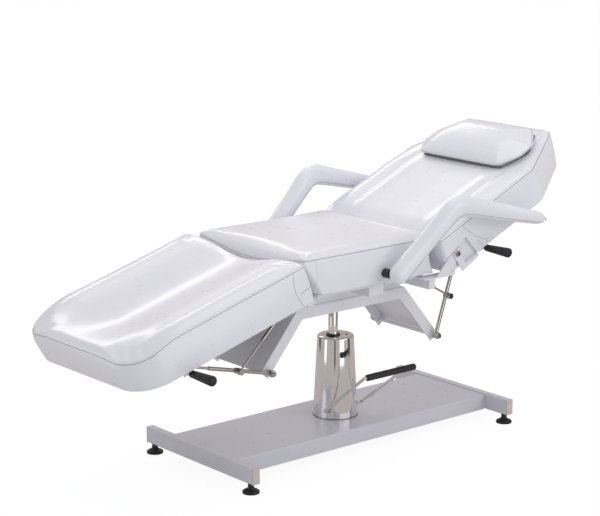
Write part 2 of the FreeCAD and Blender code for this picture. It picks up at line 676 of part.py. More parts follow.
def tee_collar(low, high):
    """The collar clamped round the near stay, with its strut pin."""
    start, along, _ = stay_frame(low, high)
    centre = V(start.x, -STAY_Y, start.z).add(V(along).multiply(TEE_AT))
    ends = [centre.add(V(along).multiply(d)) for d in (-7, 7)]
    collar = rod(ends[0], ends[1], 8.5)
    pin = pin_y(centre.x, centre.z, -STAY_Y, -STRUT_Y - 7, 3.0)
    head = pin_y(centre.x, centre.z, -STRUT_Y - 7, -STRUT_Y - 10, 9.0)
    bore_ends = [centre.add(V(along).multiply(d)) for d in (-9, 9)]
    return fused([collar, pin, head]).cut(rod(bore_ends[0], bore_ends[1], TUBE_RADIUS))


def strut_rod(seat, tee, length):
    """The thin sliding rod of a strut; its eye rides loosely on the tee pin."""
    start, along, total = stay_frame(seat, tee)
    start = V(start.x, -STRUT_Y, start.z)
    end = start.add(V(along).multiply(total))
    bottom = start.add(V(along).multiply(total - length))
    stop = start.add(V(along).multiply(total - 8))
    ring = pin_y(end.x, end.z, -STRUT_Y - 4, -STRUT_Y + 4, 9.5)
    hole = pin_y(end.x, end.z, -STRUT_Y - 5, -STRUT_Y + 5, 7.5)
    return fused([rod(bottom, stop, STRUT_ROD_RADIUS), ring.cut(hole)])


def build_stays():
    """Four telescoping stays, two tee collars and two assist struts."""
    members = (("leg", leg_stay_low(), LEG_STAY_TOP, LEG_STAY_TUBE, LEG_STAY_ROD,
                LEG_STRUT_SEAT, LEG_STRUT_TUBE, LEG_STRUT_ROD),
               ("back", back_stay_low(), BACK_STAY_TOP, BACK_STAY_TUBE, BACK_STAY_ROD,
                BACK_STRUT_SEAT, BACK_STRUT_TUBE, BACK_STRUT_ROD))
    for name, low, high, tube, slide, seat, strut_tube, strut_slide in members:
        for side, sy in SIDES:
            keep(f"{name}_stay_tube_{side}",
                 tube_piece(low, high, sy * STAY_Y, tube, TUBE_RADIUS,
                            ROD_RADIUS + SLIDE_CLEAR, EYE_RADIUS, WING_PIN_RADIUS))
            keep(f"{name}_stay_rod_{side}", stay_rod(low, high, sy * STAY_Y, slide))
        tee = tee_point(low, high)
        keep(f"{name}_tee_collar", tee_collar(low, high))
        keep(f"{name}_strut_tube",
             tube_piece(seat, tee, -STRUT_Y, strut_tube, STRUT_TUBE_RADIUS,
                        STRUT_ROD_RADIUS + SLIDE_CLEAR, 8.0, 4.0))
        keep(f"{name}_strut_rod", strut_rod(seat, tee, strut_slide))


# ============================================================ padded panels
def panel_frame(cheek_u, cheek_n, rail_u, rail_y, floor, lever_u, depth):
    """Rails, cross rails, stay cheeks and lever hangers below a board."""
    top = floor - BOARD_THICK
    low = floor - POCKET_DEPTH
    u0, u1 = rail_u
    pieces = []
    for _, sy in SIDES:
        reach = PANEL_RAIL_WIDTH / 2
        pieces.append(box(u0, u1, sy * rail_y - reach, sy * rail_y + reach, low, top))
        pieces += stay_cheeks(sy, cheek_u, cheek_n, top, low)
    for x in (u0, u1 - PANEL_RAIL_WIDTH):
        pieces.append(box(x, x + PANEL_RAIL_WIDTH, -rail_y, rail_y, low + 10, top))
    sign = math.copysign(1.0, cheek_u)
    cross = sign * (abs(cheek_u) + 34)
    pieces.append(box(min(cross, cross + sign * 16), max(cross, cross + sign * 16),
                      -rail_y, rail_y, low + 10, top))
    for y in (LEVER_INNER_Y + 4, rail_y + 6):
        hanger = box(lever_u - 11, lever_u + 11, -y - 2, -y + 2, depth - 11, low + 14)
        bridge = box(lever_u - 11, lever_u + 11, -rail_y - 8, -LEVER_INNER_Y, low, low + 6)
        pieces += [hanger, bridge]
    body = fused(pieces)
    return body.cut(pin_y(lever_u, depth, -rail_y - 65, -LEVER_INNER_Y + 22,
                          LEVER_RADIUS + PIN_CLEAR))


def stay_cheeks(sy, u, n, top, low):
    """Two windowed plates either side of a stay's upper eye."""
    plates = []
    for offset in (-10, 10):
        y = sy * STAY_Y + offset
        y0 = y - CHEEK_THICK / 2
        outline = [(u - 30, top), (u - 30, n + 6), (u - 14, n - 27), (u + 14, n - 27),
                   (u + 30, n + 6), (u + 30, top)]
        plate = polygon_y(outline, y0, y0 + CHEEK_THICK)
        window = pin_y(u, n, y0 - 1, y0 + CHEEK_THICK + 1, CHEEK_WINDOW)
        plates.append(plate.cut(window))
    for du in (-30, 26):
        plates.append(box(u + du, u + du + 4, sy * STAY_Y - 10, sy * STAY_Y + 10, low + 10, top))
    sign = math.copysign(1.0, u)
    span = sorted((u + sign * 26, u + sign * 36))
    plates.append(box(*span, sy * STAY_Y - 11, sy * STAY_Y + 11, top - 12, top))
    return plates


def pocketed(cushion, u0, u1, low, floor):
    """Hollow the underside of a panel, leaving its side walls."""
    half = PANEL_HALF - POCKET_WALL
    return cushion.cut(box(u0, u1, -half, half, low - 1, floor))


def build_back():
    """Backrest cushion, board, frame, side brackets, recess and pillow."""
    top, low = BACK_TOP, BACK_TOP - PANEL_THICK
    floor = low + POCKET_DEPTH
    plan = mirrored([(BACK_START, PANEL_HALF), (BACK_SHOULDER, PANEL_HALF),
                     (BACK_HEAD_CORNER, BACK_HEAD_HALF), (BACK_HEAD_END, HEAD_END_HALF)])
    cushion = polygon_z(plan, low, top)
    corners = [(BACK_SHOULDER, s * PANEL_HALF) for _, s in SIDES]
    cushion = cushion.makeFillet(SHOULDER_RADIUS, upright_edges(cushion, corners))
    cushion = cushion.makeChamfer(RIM_CHAMFER, flat_edges(cushion, top))
    halves = (BACK_HEAD_HALF - 6, BACK_HEAD_HALF + 26, BACK_HEAD_HALF - 14, HEAD_END_HALF - 20)
    recess = polygon_z(mirrored(list(zip(RECESS_US, halves))), top - RECESS_DEPTH, top + 1)
    cushion = pocketed(cushion.cut(recess), BACK_START + POCKET_WALL, BACK_POCKET_END, low, floor)
    relief_x = BACK_START - 1
    for _, sy in SIDES:
        ys = sorted((sy * (EAR_Y - 1.5), sy * (PANEL_HALF + 1)))
        cushion = cushion.cut(box(relief_x, 26, *ys, low - 1, 26))
    keep("back_cushion", on_back(cushion))

    half = PANEL_HALF - POCKET_WALL
    board = box(BACK_START + POCKET_WALL, BACK_POCKET_END, -half, half,
                floor - BOARD_THICK, floor)
    keep("back_board", on_back(board))
    cheek = local(BACK_STAY_TOP, BACK_PIVOT_X, BACK_PIVOT_Z, BACK_ANGLE)
    frame = panel_frame(cheek[0], cheek[1], (BACK_RAIL_START, BACK_RAIL_END), PANEL_RAIL_Y,
                        floor, LEVER_U_BACK, -LEVER_DROP)
    keep("back_frame", on_back(frame))
    for side, sy in SIDES:
        keep(f"back_bracket_{side}", on_back(back_bracket(sy, low)))
    build_pillow(top)


def back_bracket(sy, low):
    """The plate that hangs the backrest on its ear, with its inner flange."""
    inner = EAR_Y + EAR_THICK + SIDE_GAP
    y0, y1 = sy * inner, sy * (inner + 4)
    outline = [(-13, 6), (-6, 13), (20, 13), (20, low), (BRACKET_END, low),
               (BRACKET_END, low - 10), (2, low - 18), (-12, -8)]
    plate = polygon_y(outline, min(y0, y1), max(y0, y1))
    hole = pin_y(0, 0, min(y0, y1) - 1, max(y0, y1) + 1, 6.0 + PIN_CLEAR)
    flange = box(30, BRACKET_END, *sorted((sy * (PANEL_RAIL_Y - 9), y1)), low - 4, low)
    return fused([plate.cut(hole), flange])


def build_pillow(top):
    """The head pillow and the grey pad it stands on."""
    halves = (BACK_HEAD_HALF - 12, BACK_HEAD_HALF + 19, BACK_HEAD_HALF - 19, HEAD_END_HALF - 22)
    plan = list(zip(PILLOW_US, halves))
    base_low = top - RECESS_DEPTH
    base = polygon_z(mirrored(plan), base_low, base_low + PILLOW_BASE)
    base = base.makeChamfer(2.0, flat_edges(base, base_low + PILLOW_BASE))
    keep("pillow_base", on_back(base))
    shift = [(u - PILLOW_SHIFT, y + PILLOW_OVERHANG) for u, y in plan]
    z0 = base_low + PILLOW_BASE
    pad = polygon_z(mirrored(shift), z0, z0 + PILLOW_THICK)
    pad = pad.makeChamfer(PILLOW_BEVEL, flat_edges(pad, z0 + PILLOW_THICK))
    keep("pillow", on_back(pad))


def leg_inlay(u0, z0, z1):
    """What fills the underside of the leg rest, with corners that follow its plan."""
    half = PANEL_HALF - POCKET_WALL
    block = box(u0, -LEG_START - POCKET_WALL, -half, half, z0, z1)
    corners = [(u0, s * half) for _, s in SIDES]
    return block.makeFillet(LEG_CORNER - POCKET_WALL, upright_edges(block, corners))


def build_leg():
    """Leg-rest cushion, board and frame with the hinge lugs."""
    top, low = LEG_TOP, LEG_TOP - PANEL_THICK
    floor = low + POCKET_DEPTH
    plan = [(-LEG_START, -PANEL_HALF), (-LEG_START, PANEL_HALF),
            (-LEG_END_TOP, PANEL_HALF), (-LEG_END_TOP, -PANEL_HALF)]
    slab = polygon_z(plan, low, top)
    corners = [(-LEG_END_TOP, s * PANEL_HALF) for _, s in SIDES]
    slab = slab.makeFillet(LEG_CORNER, upright_edges(slab, corners))
    profile = [(-LEG_START - 6, top), (-LEG_WATERFALL_START, top),
               (-LEG_END_TOP, top - LEG_WATERFALL), (-LEG_END_TOP, top - LEG_TIP_DROP),
               (-LEG_END_BOTTOM, low), (-LEG_START + 4, low), (-LEG_START, low + 30)]
    cushion = slab.common(polygon_y(profile, -PANEL_HALF - 1, PANEL_HALF + 1))
    cushion = cushion.cut(leg_inlay(-LEG_POCKET_END, low - 1, floor))
    slot_end = LEG_EAR_Y + LEG_PIN_REACH + 3
    for _, sy in SIDES:
        ys = sorted((sy * (LEG_EAR_Y - 3), sy * slot_end))
        cushion = cushion.cut(box(-48, 1, *ys, low - 1, 18))
    keep("leg_cushion", on_leg(cushion))

    board = leg_inlay(-LEG_POCKET_END, floor - BOARD_THICK, floor)
    for _, sy in SIDES:
        ys = sorted((sy * (LEG_EAR_Y - 3), sy * slot_end))
        board = board.cut(box(-48, 1, *ys, floor - 20, floor + 1))
    keep("leg_board", on_leg(board))

    cheek = local(LEG_STAY_TOP, LEG_PIVOT_X, LEG_PIVOT_Z, LEG_ANGLE)
    frame = panel_frame(cheek[0], cheek[1], (-LEG_RAIL_END, -LEG_RAIL_START), PANEL_RAIL_Y,
                        floor, -LEVER_U_LEG, -LEVER_DROP)
    lugs = []
    for _, sy in SIDES:
        y0 = LEG_EAR_Y + LEG_EAR_THICK + SIDE_GAP
        ys = sorted((sy * y0, sy * (y0 + 6)))
        outline = [(12, 2), (4, 12), (-12, 12), (-LUG_FOOT - 14, floor - 12),
                   (-LUG_NECK, floor - 12), (-LUG_NECK, low + 4), (-LUG_FOOT, low + 4), (8, -12)]
        lug = polygon_y(outline, *ys)
        lugs.append(lug.cut(pin_y(0, 0, ys[0] - 1, ys[1] + 1, LEG_PIN_RADIUS + PIN_CLEAR)))
    keep("leg_frame", on_leg(fused([frame] + lugs)))


def build_levers():
    """The two sprung release levers and their tapered grips."""
    for name, u, place in (("leg", -LEVER_U_LEG, on_leg), ("back", LEVER_U_BACK, on_back)):
        bar = pin_y(u, -LEVER_DROP, -LEVER_INNER_Y + 4, -LEVER_OUTER_Y + 6, LEVER_RADIUS)
        collar = pin_y(u, -LEVER_DROP, -LEVER_INNER_Y - 6.3, -LEVER_INNER_Y - 16, 9.0)
        keep(f"{name}_release_bar", place(fused([bar, collar])))
        cone = Part.makeCone(GRIP_ROOT_RADIUS, GRIP_TIP_RADIUS, LEVER_OUTER_Y - GRIP_START_Y,
                             V(u, -GRIP_START_Y, -LEVER_DROP), V(0, -1, 0))
        cone = cone.makeFillet(4.0, [e for e in cone.Edges if e.Closed
                                     and e.Vertexes[0].Y < -LEVER_OUTER_Y + 1])
        bore = pin_y(u, -LEVER_DROP, -GRIP_START_Y + 1, -LEVER_OUTER_Y + 5.9, LEVER_RADIUS)
        keep(f"{name}_release_grip", place(cone.cut(bore)))


# ================================================================= armrests
def arm_path(sy):
    """Centre line of one armrest from its low end to its tip."""
    low = V(ARM_PIVOT_X, sy * ARM_LOW_Y, ARM_PIVOT_Z)
    bend = V(ARM_BEND_X, sy * ARM_HIGH_Y, ARM_BEND_Z)
    tip = V(ARM_TIP_X, sy * ARM_HIGH_Y, ARM_TIP_Z)
    up = bend.sub(low).normalize()
    out = tip.sub(bend).normalize()
    turn = up.getAngle(out)
    set_back = ARM_BEND_RADIUS * math.tan(turn / 2)
    first = bend.sub(V(up).multiply(set_back))
    last = bend.add(V(out).multiply(set_back))
    inward = V(out).sub(up).normalize()
    apex = bend.add(V(inward).multiply(ARM_BEND_RADIUS / math.cos(turn / 2) - ARM_BEND_RADIUS))
    return [Part.makeLine(low, first), Part.Arc(first, apex, last).toShape(),
            Part.makeLine(last, tip)]


def build_arms():
    """Two padded armrests, each turning on its stud."""
    for side, sy in SIDES:
        edges = arm_path(sy)
        path = Part.Wire(edges)
        low = edges[0].Vertexes[0].Point
        along = edges[0].tangentAt(edges[0].FirstParameter)
        circle = Part.Wire(Part.makeCircle(ARM_RADIUS, low, along))
        pad = path.makePipeShell([circle], True, False)
        tip = edges[-1].Vertexes[-1].Point
        pad = fused([pad, Part.makeSphere(ARM_RADIUS, low), Part.makeSphere(ARM_RADIUS, tip)])
        ys = sorted((sy * (ARM_LOW_Y - ARM_RADIUS - 5), sy * (ARM_LOW_Y + ARM_STUD_BITE + 0.3)))
        bore = pin_y(ARM_PIVOT_X, ARM_PIVOT_Z, *ys, ARM_STUD_RADIUS + PIN_CLEAR)
        face = sorted((sy * (ARM_LOW_Y - ARM_RADIUS), sy * (ARM_LOW_Y - ARM_RADIUS - 20)))
        flat = pin_y(ARM_PIVOT_X, ARM_PIVOT_Z, *face, ARM_RADIUS + 2)
        keep(f"armrest_{side}", pad.cut(bore).cut(flat))


build_base()
build_pump()
build_pedal()
build_subframe()
build_seat()
build_stays()
build_back()
build_leg()
build_levers()
build_arms()

for node, shape in parts.items():
    placed = shape.copy()
    placed.translate(V(BASE_MIDDLE_X, 0, 0))
    placed.exportStep(f"parts/{node}.step")
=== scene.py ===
"""Looks of a facial treatment bed: upholstery, chrome, paint and a plain studio.

Metres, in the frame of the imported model: +X towards the head end, +Z up, the
near side is -Y.  Panel pieces are laid out level in (u, y, n) round their hinge
and then put in place by a Tilt.
"""

import json
import logging
import math
from dataclasses import dataclass, field
from enum import Enum
from typing import Any, Callable, Sequence

import bmesh
import bpy
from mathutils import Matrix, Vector
from mathutils.bvhtree import BVHTree

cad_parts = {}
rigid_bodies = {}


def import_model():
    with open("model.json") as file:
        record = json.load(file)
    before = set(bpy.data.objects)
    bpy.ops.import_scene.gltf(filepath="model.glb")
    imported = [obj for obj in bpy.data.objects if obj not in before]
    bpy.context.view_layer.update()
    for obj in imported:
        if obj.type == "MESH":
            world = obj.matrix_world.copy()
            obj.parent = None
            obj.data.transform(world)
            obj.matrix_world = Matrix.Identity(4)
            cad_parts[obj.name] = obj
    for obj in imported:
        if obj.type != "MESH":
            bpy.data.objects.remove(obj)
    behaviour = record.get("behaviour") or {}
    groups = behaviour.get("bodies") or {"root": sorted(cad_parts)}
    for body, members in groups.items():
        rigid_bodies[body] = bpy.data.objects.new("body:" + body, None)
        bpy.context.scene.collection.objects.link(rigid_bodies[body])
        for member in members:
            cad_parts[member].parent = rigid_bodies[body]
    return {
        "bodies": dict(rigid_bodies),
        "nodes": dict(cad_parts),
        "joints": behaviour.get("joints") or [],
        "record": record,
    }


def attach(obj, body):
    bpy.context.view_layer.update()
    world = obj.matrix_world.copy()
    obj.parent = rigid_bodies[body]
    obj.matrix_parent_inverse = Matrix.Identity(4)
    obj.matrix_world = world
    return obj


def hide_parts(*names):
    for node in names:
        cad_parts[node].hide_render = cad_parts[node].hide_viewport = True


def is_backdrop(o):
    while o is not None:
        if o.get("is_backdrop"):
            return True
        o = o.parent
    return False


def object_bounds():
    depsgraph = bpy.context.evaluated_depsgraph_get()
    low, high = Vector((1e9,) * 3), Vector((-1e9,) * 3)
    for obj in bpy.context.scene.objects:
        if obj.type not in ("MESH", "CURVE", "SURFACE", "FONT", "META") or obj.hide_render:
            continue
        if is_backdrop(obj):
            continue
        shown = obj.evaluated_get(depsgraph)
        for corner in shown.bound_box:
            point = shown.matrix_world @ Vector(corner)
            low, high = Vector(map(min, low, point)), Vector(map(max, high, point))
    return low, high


log = logging.getLogger("treatment_bed")

Point2 = tuple[float, float]
Colour = tuple[float, float, float]

SIDES = (("near", -1.0), ("far", 1.0))      # each side's name and the sign of its Y
UP = Vector((0.0, 0.0, 1.0))
WHITE: Colour = (1.0, 1.0, 1.0)
EDGE_SAMPLES = 4            # rays that round a hard edge in a finish
CORD_SIDES = 8              # points round a welt or a thread
BOARD_CLEARANCE = 0.0045    # between a panel's board and the pocket of its cushion


# ============================================================ shader expressions
class Signal:
    """A shader socket on which Python arithmetic adds Math nodes."""

    def __init__(self, graph: "Graph", socket: bpy.types.NodeSocket) -> None:
        """Wrap an output socket of a graph."""
        self.graph = graph
        self.socket = socket

    def _math(self, operation: str, first: Any, second: Any) -> "Signal":
        """Add one Math node.

        Args:
            operation: The Math node's operation.
            first: Its first operand, a Signal or a number.
            second: Its second operand.

        Returns:
            The node's output.
        """
        made = self.graph.node("ShaderNodeMath", {"operation": operation}, {0: first, 1: second})
        return Signal(self.graph, made.outputs[0])

    def __add__(self, other: Any) -> "Signal":
        """Sum."""
        return self._math("ADD", self, other)

    def __mul__(self, other: Any) -> "Signal":
        """Product."""
        return self._math("MULTIPLY", self, other)

    def __rsub__(self, other: Any) -> "Signal":
        """Difference from a number."""
        return self._math("SUBTRACT", other, self)


class Graph:
    """The node tree of one material or of the world."""

    def __init__(self, name: str, world: bool = False) -> None:
        """Start an empty tree with its output node.

        Args:
            name: The name of the material or world.
            world: Whether the tree is the world's.
        """
        store = bpy.data.worlds if world else bpy.data.materials
        self.material = store.new(name)
        self.material.use_nodes = True
        self.tree = self.material.node_tree
        self.tree.nodes.clear()
        kind = "ShaderNodeOutputWorld" if world else "ShaderNodeOutputMaterial"
        self.output = self.node(kind, {}, {})

    def node(self, kind: str, settings: dict[str, Any], values: dict[Any, Any]) -> bpy.types.Node:
        """Add a node.

        Args:
            kind: The node's type.
            settings: Attributes set first; "stops" holds a ramp's (place, colour) pairs.
            values: Socket name or index to a number, a colour, a Signal or a socket.

        Returns:
            The new node.
        """
        made = self.tree.nodes.new(kind)
        for key, value in settings.items():
            if key == "stops":
                self._stops(made, value)
            else:
                setattr(made, key, value)
        for key, value in values.items():
            if isinstance(value, Signal):
                self.tree.links.new(value.socket, made.inputs[key])
            elif isinstance(value, bpy.types.NodeSocket):
                self.tree.links.new(value, made.inputs[key])
            else:
                made.inputs[key].default_value = value
        return made

    def _stops(self, ramp: bpy.types.Node, stops: Sequence[tuple[float, Colour]]) -> None:
        """Fill a colour ramp."""
        elements = ramp.color_ramp.elements
        while len(elements) < len(stops):
            elements.new(0.5)
        for element, (place, colour) in zip(elements, stops):
            element.position = place
            element.color = (*colour, 1.0)

    def signal(self, kind: str, settings: dict[str, Any], values: dict[Any, Any],
               out: Any = 0) -> Signal:
        """Add a node and give one of its outputs."""
        return Signal(self, self.node(kind, settings, values).outputs[out])

    def place(self) -> Signal:
        """Object coordinates in metres."""
        return self.signal("ShaderNodeTexCoord", {}, {}, "Object")

    def noise(self, scale: float, detail: float = 2.0, rough: float = 0.5) -> Signal:
        """Smooth noise between 0 and 1 over the surface, scale in cells per metre."""
        return self.signal("ShaderNodeTexNoise", {},
                           {"Vector": self.place(), "Scale": scale, "Detail": detail,
                            "Roughness": rough}, "Fac")

    def remap(self, value: Signal, low: float, high: float, out_low: float,
              out_high: float) -> Signal:
        """Map a range onto another, clamped."""
        return self.signal("ShaderNodeMapRange", {"clamp": True},
                           {0: value, 1: low, 2: high, 3: out_low, 4: out_high})

    def blend(self, factor: Signal, first: Colour, second: Colour) -> Signal:
        """Mix two colours."""
        return self.signal("ShaderNodeMix", {"data_type": "RGBA"},
                           {"Factor": factor, 6: (*first, 1.0), 7: (*second, 1.0)}, 2)

    def soft(self, radius: float) -> Signal:
        """A normal that rounds hard edges."""
        return self.signal("ShaderNodeBevel", {"samples": EDGE_SAMPLES}, {"Radius": radius})

    def bump(self, height: Signal, distance: float, strength: float = 1.0,
             normal: Signal | None = None) -> Signal:
        """Turn a height into a normal."""
        values: dict[Any, Any] = {"Strength": strength, "Distance": distance, "Height": height}
        if normal is not None:
            values["Normal"] = normal
        return self.signal("ShaderNodeBump", {}, values)

    def finish(self, shader: bpy.types.Node) -> bpy.types.Material:
        """Join a shader to the output and give the material."""
        self.tree.links.new(shader.outputs[0], self.output.inputs["Surface"])
        return self.material

    def principled(self, values: dict[str, Any]) -> bpy.types.Material:
        """Close the tree with a Principled shader."""
        return self.finish(self.node("ShaderNodeBsdfPrincipled", {}, values))


# ====================================================================== finishes
@dataclass(frozen=True)
class Vinyl:
    """Coated upholstery cloth: fine pebbled grain, soft creases beside the seams, and a colour
    painted darker towards the seams as painted shade.
    """

    name: str
    colour: Colour
    # The colour that the random tone and the painted shade beside the seams blend towards.
    shade: Colour
    roughness: float = 0.3
    coat: float = 0.25
    crease: float = 0.0012

    def build(self) -> bpy.types.Material:
        """Make the material."""
        graph = Graph(self.name)
        edge = graph.signal("ShaderNodeAttribute", {"attribute_name": "seam"}, {}, "Fac")
        near = 1.0 - edge
        grain = graph.signal("ShaderNodeTexVoronoi", {"feature": "SMOOTH_F1"},
                             {"Vector": graph.place(), "Scale": 900.0}, "Distance")
        slack = graph.noise(26.0, 3.0)
        pucker = graph.noise(85.0, 2.0)
        relief = graph.bump(slack, 0.0004, 0.5)
        relief = graph.bump(pucker * near, self.crease, 0.8, relief)
        relief = graph.bump(grain, 0.00001, 0.2, relief)
        tone = graph.remap(graph.noise(6.0, 4.0), 0.3, 0.7, 0.0, 0.35)
        # The colour varies at random, and is painted darker towards the seams and the tucks as
        # painted shade.
        tint = graph.blend(tone + near * 0.25, self.colour, self.shade)
        rough = graph.remap(graph.noise(40.0, 3.0), 0.25, 0.75, self.roughness - 0.04,
                            self.roughness + 0.05)
        return graph.principled({"Base Color": tint, "Roughness": rough, "Normal": relief,
                                 "Coat Weight": self.coat, "Coat Roughness": 0.12,
                                 "Specular IOR Level": 0.5})


@dataclass(frozen=True)
class Cord:
    """Welt, thread or trim: a dull thin line with a fine twist."""

    name: str
    colour: Colour
    roughness: float = 0.55

    def build(self) -> bpy.types.Material:
        """Make the material."""
        graph = Graph(self.name)
        twist = graph.noise(1400.0, 2.0)
        dark = tuple(channel * 0.75 for channel in self.colour)
        tint = graph.blend(graph.remap(graph.noise(60.0), 0.3, 0.7, 0.0, 1.0), self.colour, dark)
        return graph.principled({"Base Color": tint, "Roughness": self.roughness,
                                 "Normal": graph.bump(twist, 0.0001, 0.4)})


@dataclass(frozen=True)
class Paint:
    """Gloss powder coat: slight orange peel, softened edges, light scuffs."""

    name: str
    colour: Colour
    scuff: Colour
    roughness: float = 0.32

    def build(self) -> bpy.types.Material:
        """Make the material."""
        graph = Graph(self.name)
        soft = graph.soft(0.0012)
        peel = graph.noise(420.0, 2.0)
        relief = graph.bump(peel, 0.00008, 0.5, soft)
        wear = graph.remap(graph.noise(9.0, 3.0, 0.5), 0.35, 0.75, 0.0, 0.25)
        tint = graph.blend(wear, self.colour, self.scuff)
        rough = graph.remap(graph.noise(55.0, 4.0), 0.3, 0.7, self.roughness - 0.05,
                            self.roughness + 0.08)
        return graph.principled({"Base Color": tint, "Roughness": rough, "Normal": relief,
                                 "Coat Weight": 0.2, "Coat Roughness": 0.15})


@dataclass(frozen=True)
class Metal:
    """Bare or plated metal: polish lines, faint smears, softened edges."""

    name: str
    colour: Colour
    smear: Colour
    roughness: float
    spread: float = 0.04
    lines: float = 0.3

    def build(self) -> bpy.types.Material:
        """Make the material."""
        graph = Graph(self.name)
        soft = graph.soft(0.0006)
        polish = graph.noise(900.0, 3.0)
        smears = graph.remap(graph.noise(30.0, 5.0, 0.65), 0.35, 0.75, 0.0, 1.0)
        tint = graph.blend(smears * 0.5, self.colour, self.smear)
        rough = smears * self.spread + self.roughness
        return graph.principled({"Base Color": tint, "Metallic": 1.0, "Roughness": rough,
                                 "Normal": graph.bump(polish, 0.00002, self.lines, soft)})


@dataclass(frozen=True)
class Polymer:
    """Moulded rubber or plastic with a fine matt texture."""

    name: str
    colour: Colour
    worn: Colour
    roughness: float = 0.6
    texture: float = 0.00012

    def build(self) -> bpy.types.Material:
        """Make the material."""
        graph = Graph(self.name)
        soft = graph.soft(0.0008)
        fine = graph.noise(700.0, 3.0)
        wear = graph.remap(graph.noise(35.0, 5.0, 0.6), 0.45, 0.75, 0.0, 0.7)
        tint = graph.blend(wear, self.colour, self.worn)
        rough = wear * 0.1 + self.roughness
        return graph.principled({"Base Color": tint, "Roughness": rough,
                                 "Normal": graph.bump(fine, self.texture, 0.6, soft)})


@dataclass(frozen=True)
class Ply:
    """The underside of a padded board: dark backing cloth with a fine weave."""

    name: str
    colour: Colour
    weft: Colour

    def build(self) -> bpy.types.Material:
        """Make the material."""
        graph = Graph(self.name)
        warp, weft = (
            graph.signal("ShaderNodeTexWave", {"wave_type": "BANDS", "bands_direction": way},
                         {"Vector": graph.place(), "Scale": 260.0, "Distortion": 0.6}, "Fac")
            for way in ("X", "Y"))
        weave = warp * weft
        tint = graph.blend(weave, self.colour, self.weft)
        return graph.principled({"Base Color": tint, "Roughness": 0.85,
                                 "Normal": graph.bump(weave, 0.0002, 0.6)})


class Finish(Enum):
    """Every finish on the bed."""

    WHITE_VINYL = Vinyl("white_vinyl", (0.82, 0.815, 0.87), (0.785, 0.78, 0.84))
    GREY_VINYL = Vinyl("grey_vinyl", (0.74, 0.73, 0.77), (0.68, 0.67, 0.71), 0.45, 0.1)
    WELT = Cord("seam_welt", (0.44, 0.41, 0.41))
    THREAD = Cord("thread", (0.52, 0.50, 0.54))
    # One white powder coat in two tones: the base's copy is painted darker as painted shade under
    # the couch, and the upper frame's copy is painted lighter as painted light.
    BASE_COAT_PAINTED_SHADE = Paint("powder_coat_painted_shade_base", (0.66, 0.655, 0.715), (0.62, 0.615, 0.665))
    FRAME_COAT_PAINTED_LIGHT = Paint("powder_coat_painted_light_frame", (0.80, 0.79, 0.83), (0.75, 0.74, 0.775))
    CHROME = Metal("bright_chrome", (0.86, 0.85, 0.85), (0.74, 0.72, 0.70), 0.04, 0.05)
    ZINC = Metal("zinc_plate", (0.56, 0.54, 0.53), (0.46, 0.43, 0.41), 0.16, 0.08, 0.1)
    BLACK_RUBBER = Polymer("black_rubber", (0.012, 0.012, 0.013), (0.03, 0.03, 0.032), 0.5)
    CAP_PLASTIC = Polymer("cap_plastic", (0.62, 0.56, 0.50), (0.54, 0.48, 0.42), 0.5)
    SEAL_RUBBER = Polymer("seal_rubber", (0.02, 0.02, 0.022), (0.04, 0.04, 0.04), 0.4)
    BACKING = Ply("backing_cloth", (0.05, 0.05, 0.055), (0.12, 0.12, 0.125))


class Wardrobe:
    """Builds each finish once and puts it on pieces."""

    def __init__(self) -> None:
        """Start with no material built."""
        self.made: dict[Finish, bpy.types.Material] = {}

    def get(self, finish: Finish) -> bpy.types.Material:
        """The material of a finish."""
        if finish not in self.made:
            self.made[finish] = finish.value.build()
        return self.made[finish]

    def fit(self, piece: bpy.types.Object, finish: Finish, body: str) -> None:
        """Put one finish all over a new piece and let it ride on a body."""
        piece.data.materials.clear()
        piece.data.materials.append(self.get(finish))
        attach(piece, body)

    def upholster(self, piece: bpy.types.Object, body: str, node: str, fill: float,
                  finish: Finish = Finish.WHITE_VINYL, slot: str = "vinyl") -> None:
        """Cover a padded piece that takes the place of a node.

        Args:
            piece: The cushion.
            body: The body that it rides on.
            node: The node that it replaces.
            fill: Not used.
            finish: Its cover.
            slot: Not used.
        """
        self.fit(piece, finish, body)
        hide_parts(node)

    def redress(self, node: bpy.types.Object, finish: Finish) -> None:
        """Change the finish of a node of the frame, leaving its mesh alone."""
        for slot in node.material_slots:
            slot.link = "OBJECT"
            slot.material = self.get(finish)


# ====================================================================== geometry
@dataclass(frozen=True)
class Tilt:
    """Places level panel coordinates (u, y, n) at a hinge and a resting slope."""

    x: float = 0.0
    z: float = 0.0
    degrees: float = 0.0

    def put(self, u: float, y: float, n: float) -> Vector:
        """The row-frame point of a panel point."""
        c, s = math.cos(math.radians(self.degrees)), math.sin(math.radians(self.degrees))
        return Vector((self.x + u * c - n * s, y, self.z + u * s + n * c))


BASE_MIDDLE_X = 0.07336     # the middle of the base in the row frame
LEG_TILT = Tilt(BASE_MIDDLE_X - 0.322, 0.590, 15.9)
SEAT_TILT = Tilt(BASE_MIDDLE_X)
BACK_TILT = Tilt(BASE_MIDDLE_X + 0.249, 0.601, 24.0)


@dataclass(frozen=True)
class Corner:
    """One rounded corner of a plan and the straight run that follows it."""

    u: float
    y: float
    radius: float
    arc: int
    run: int


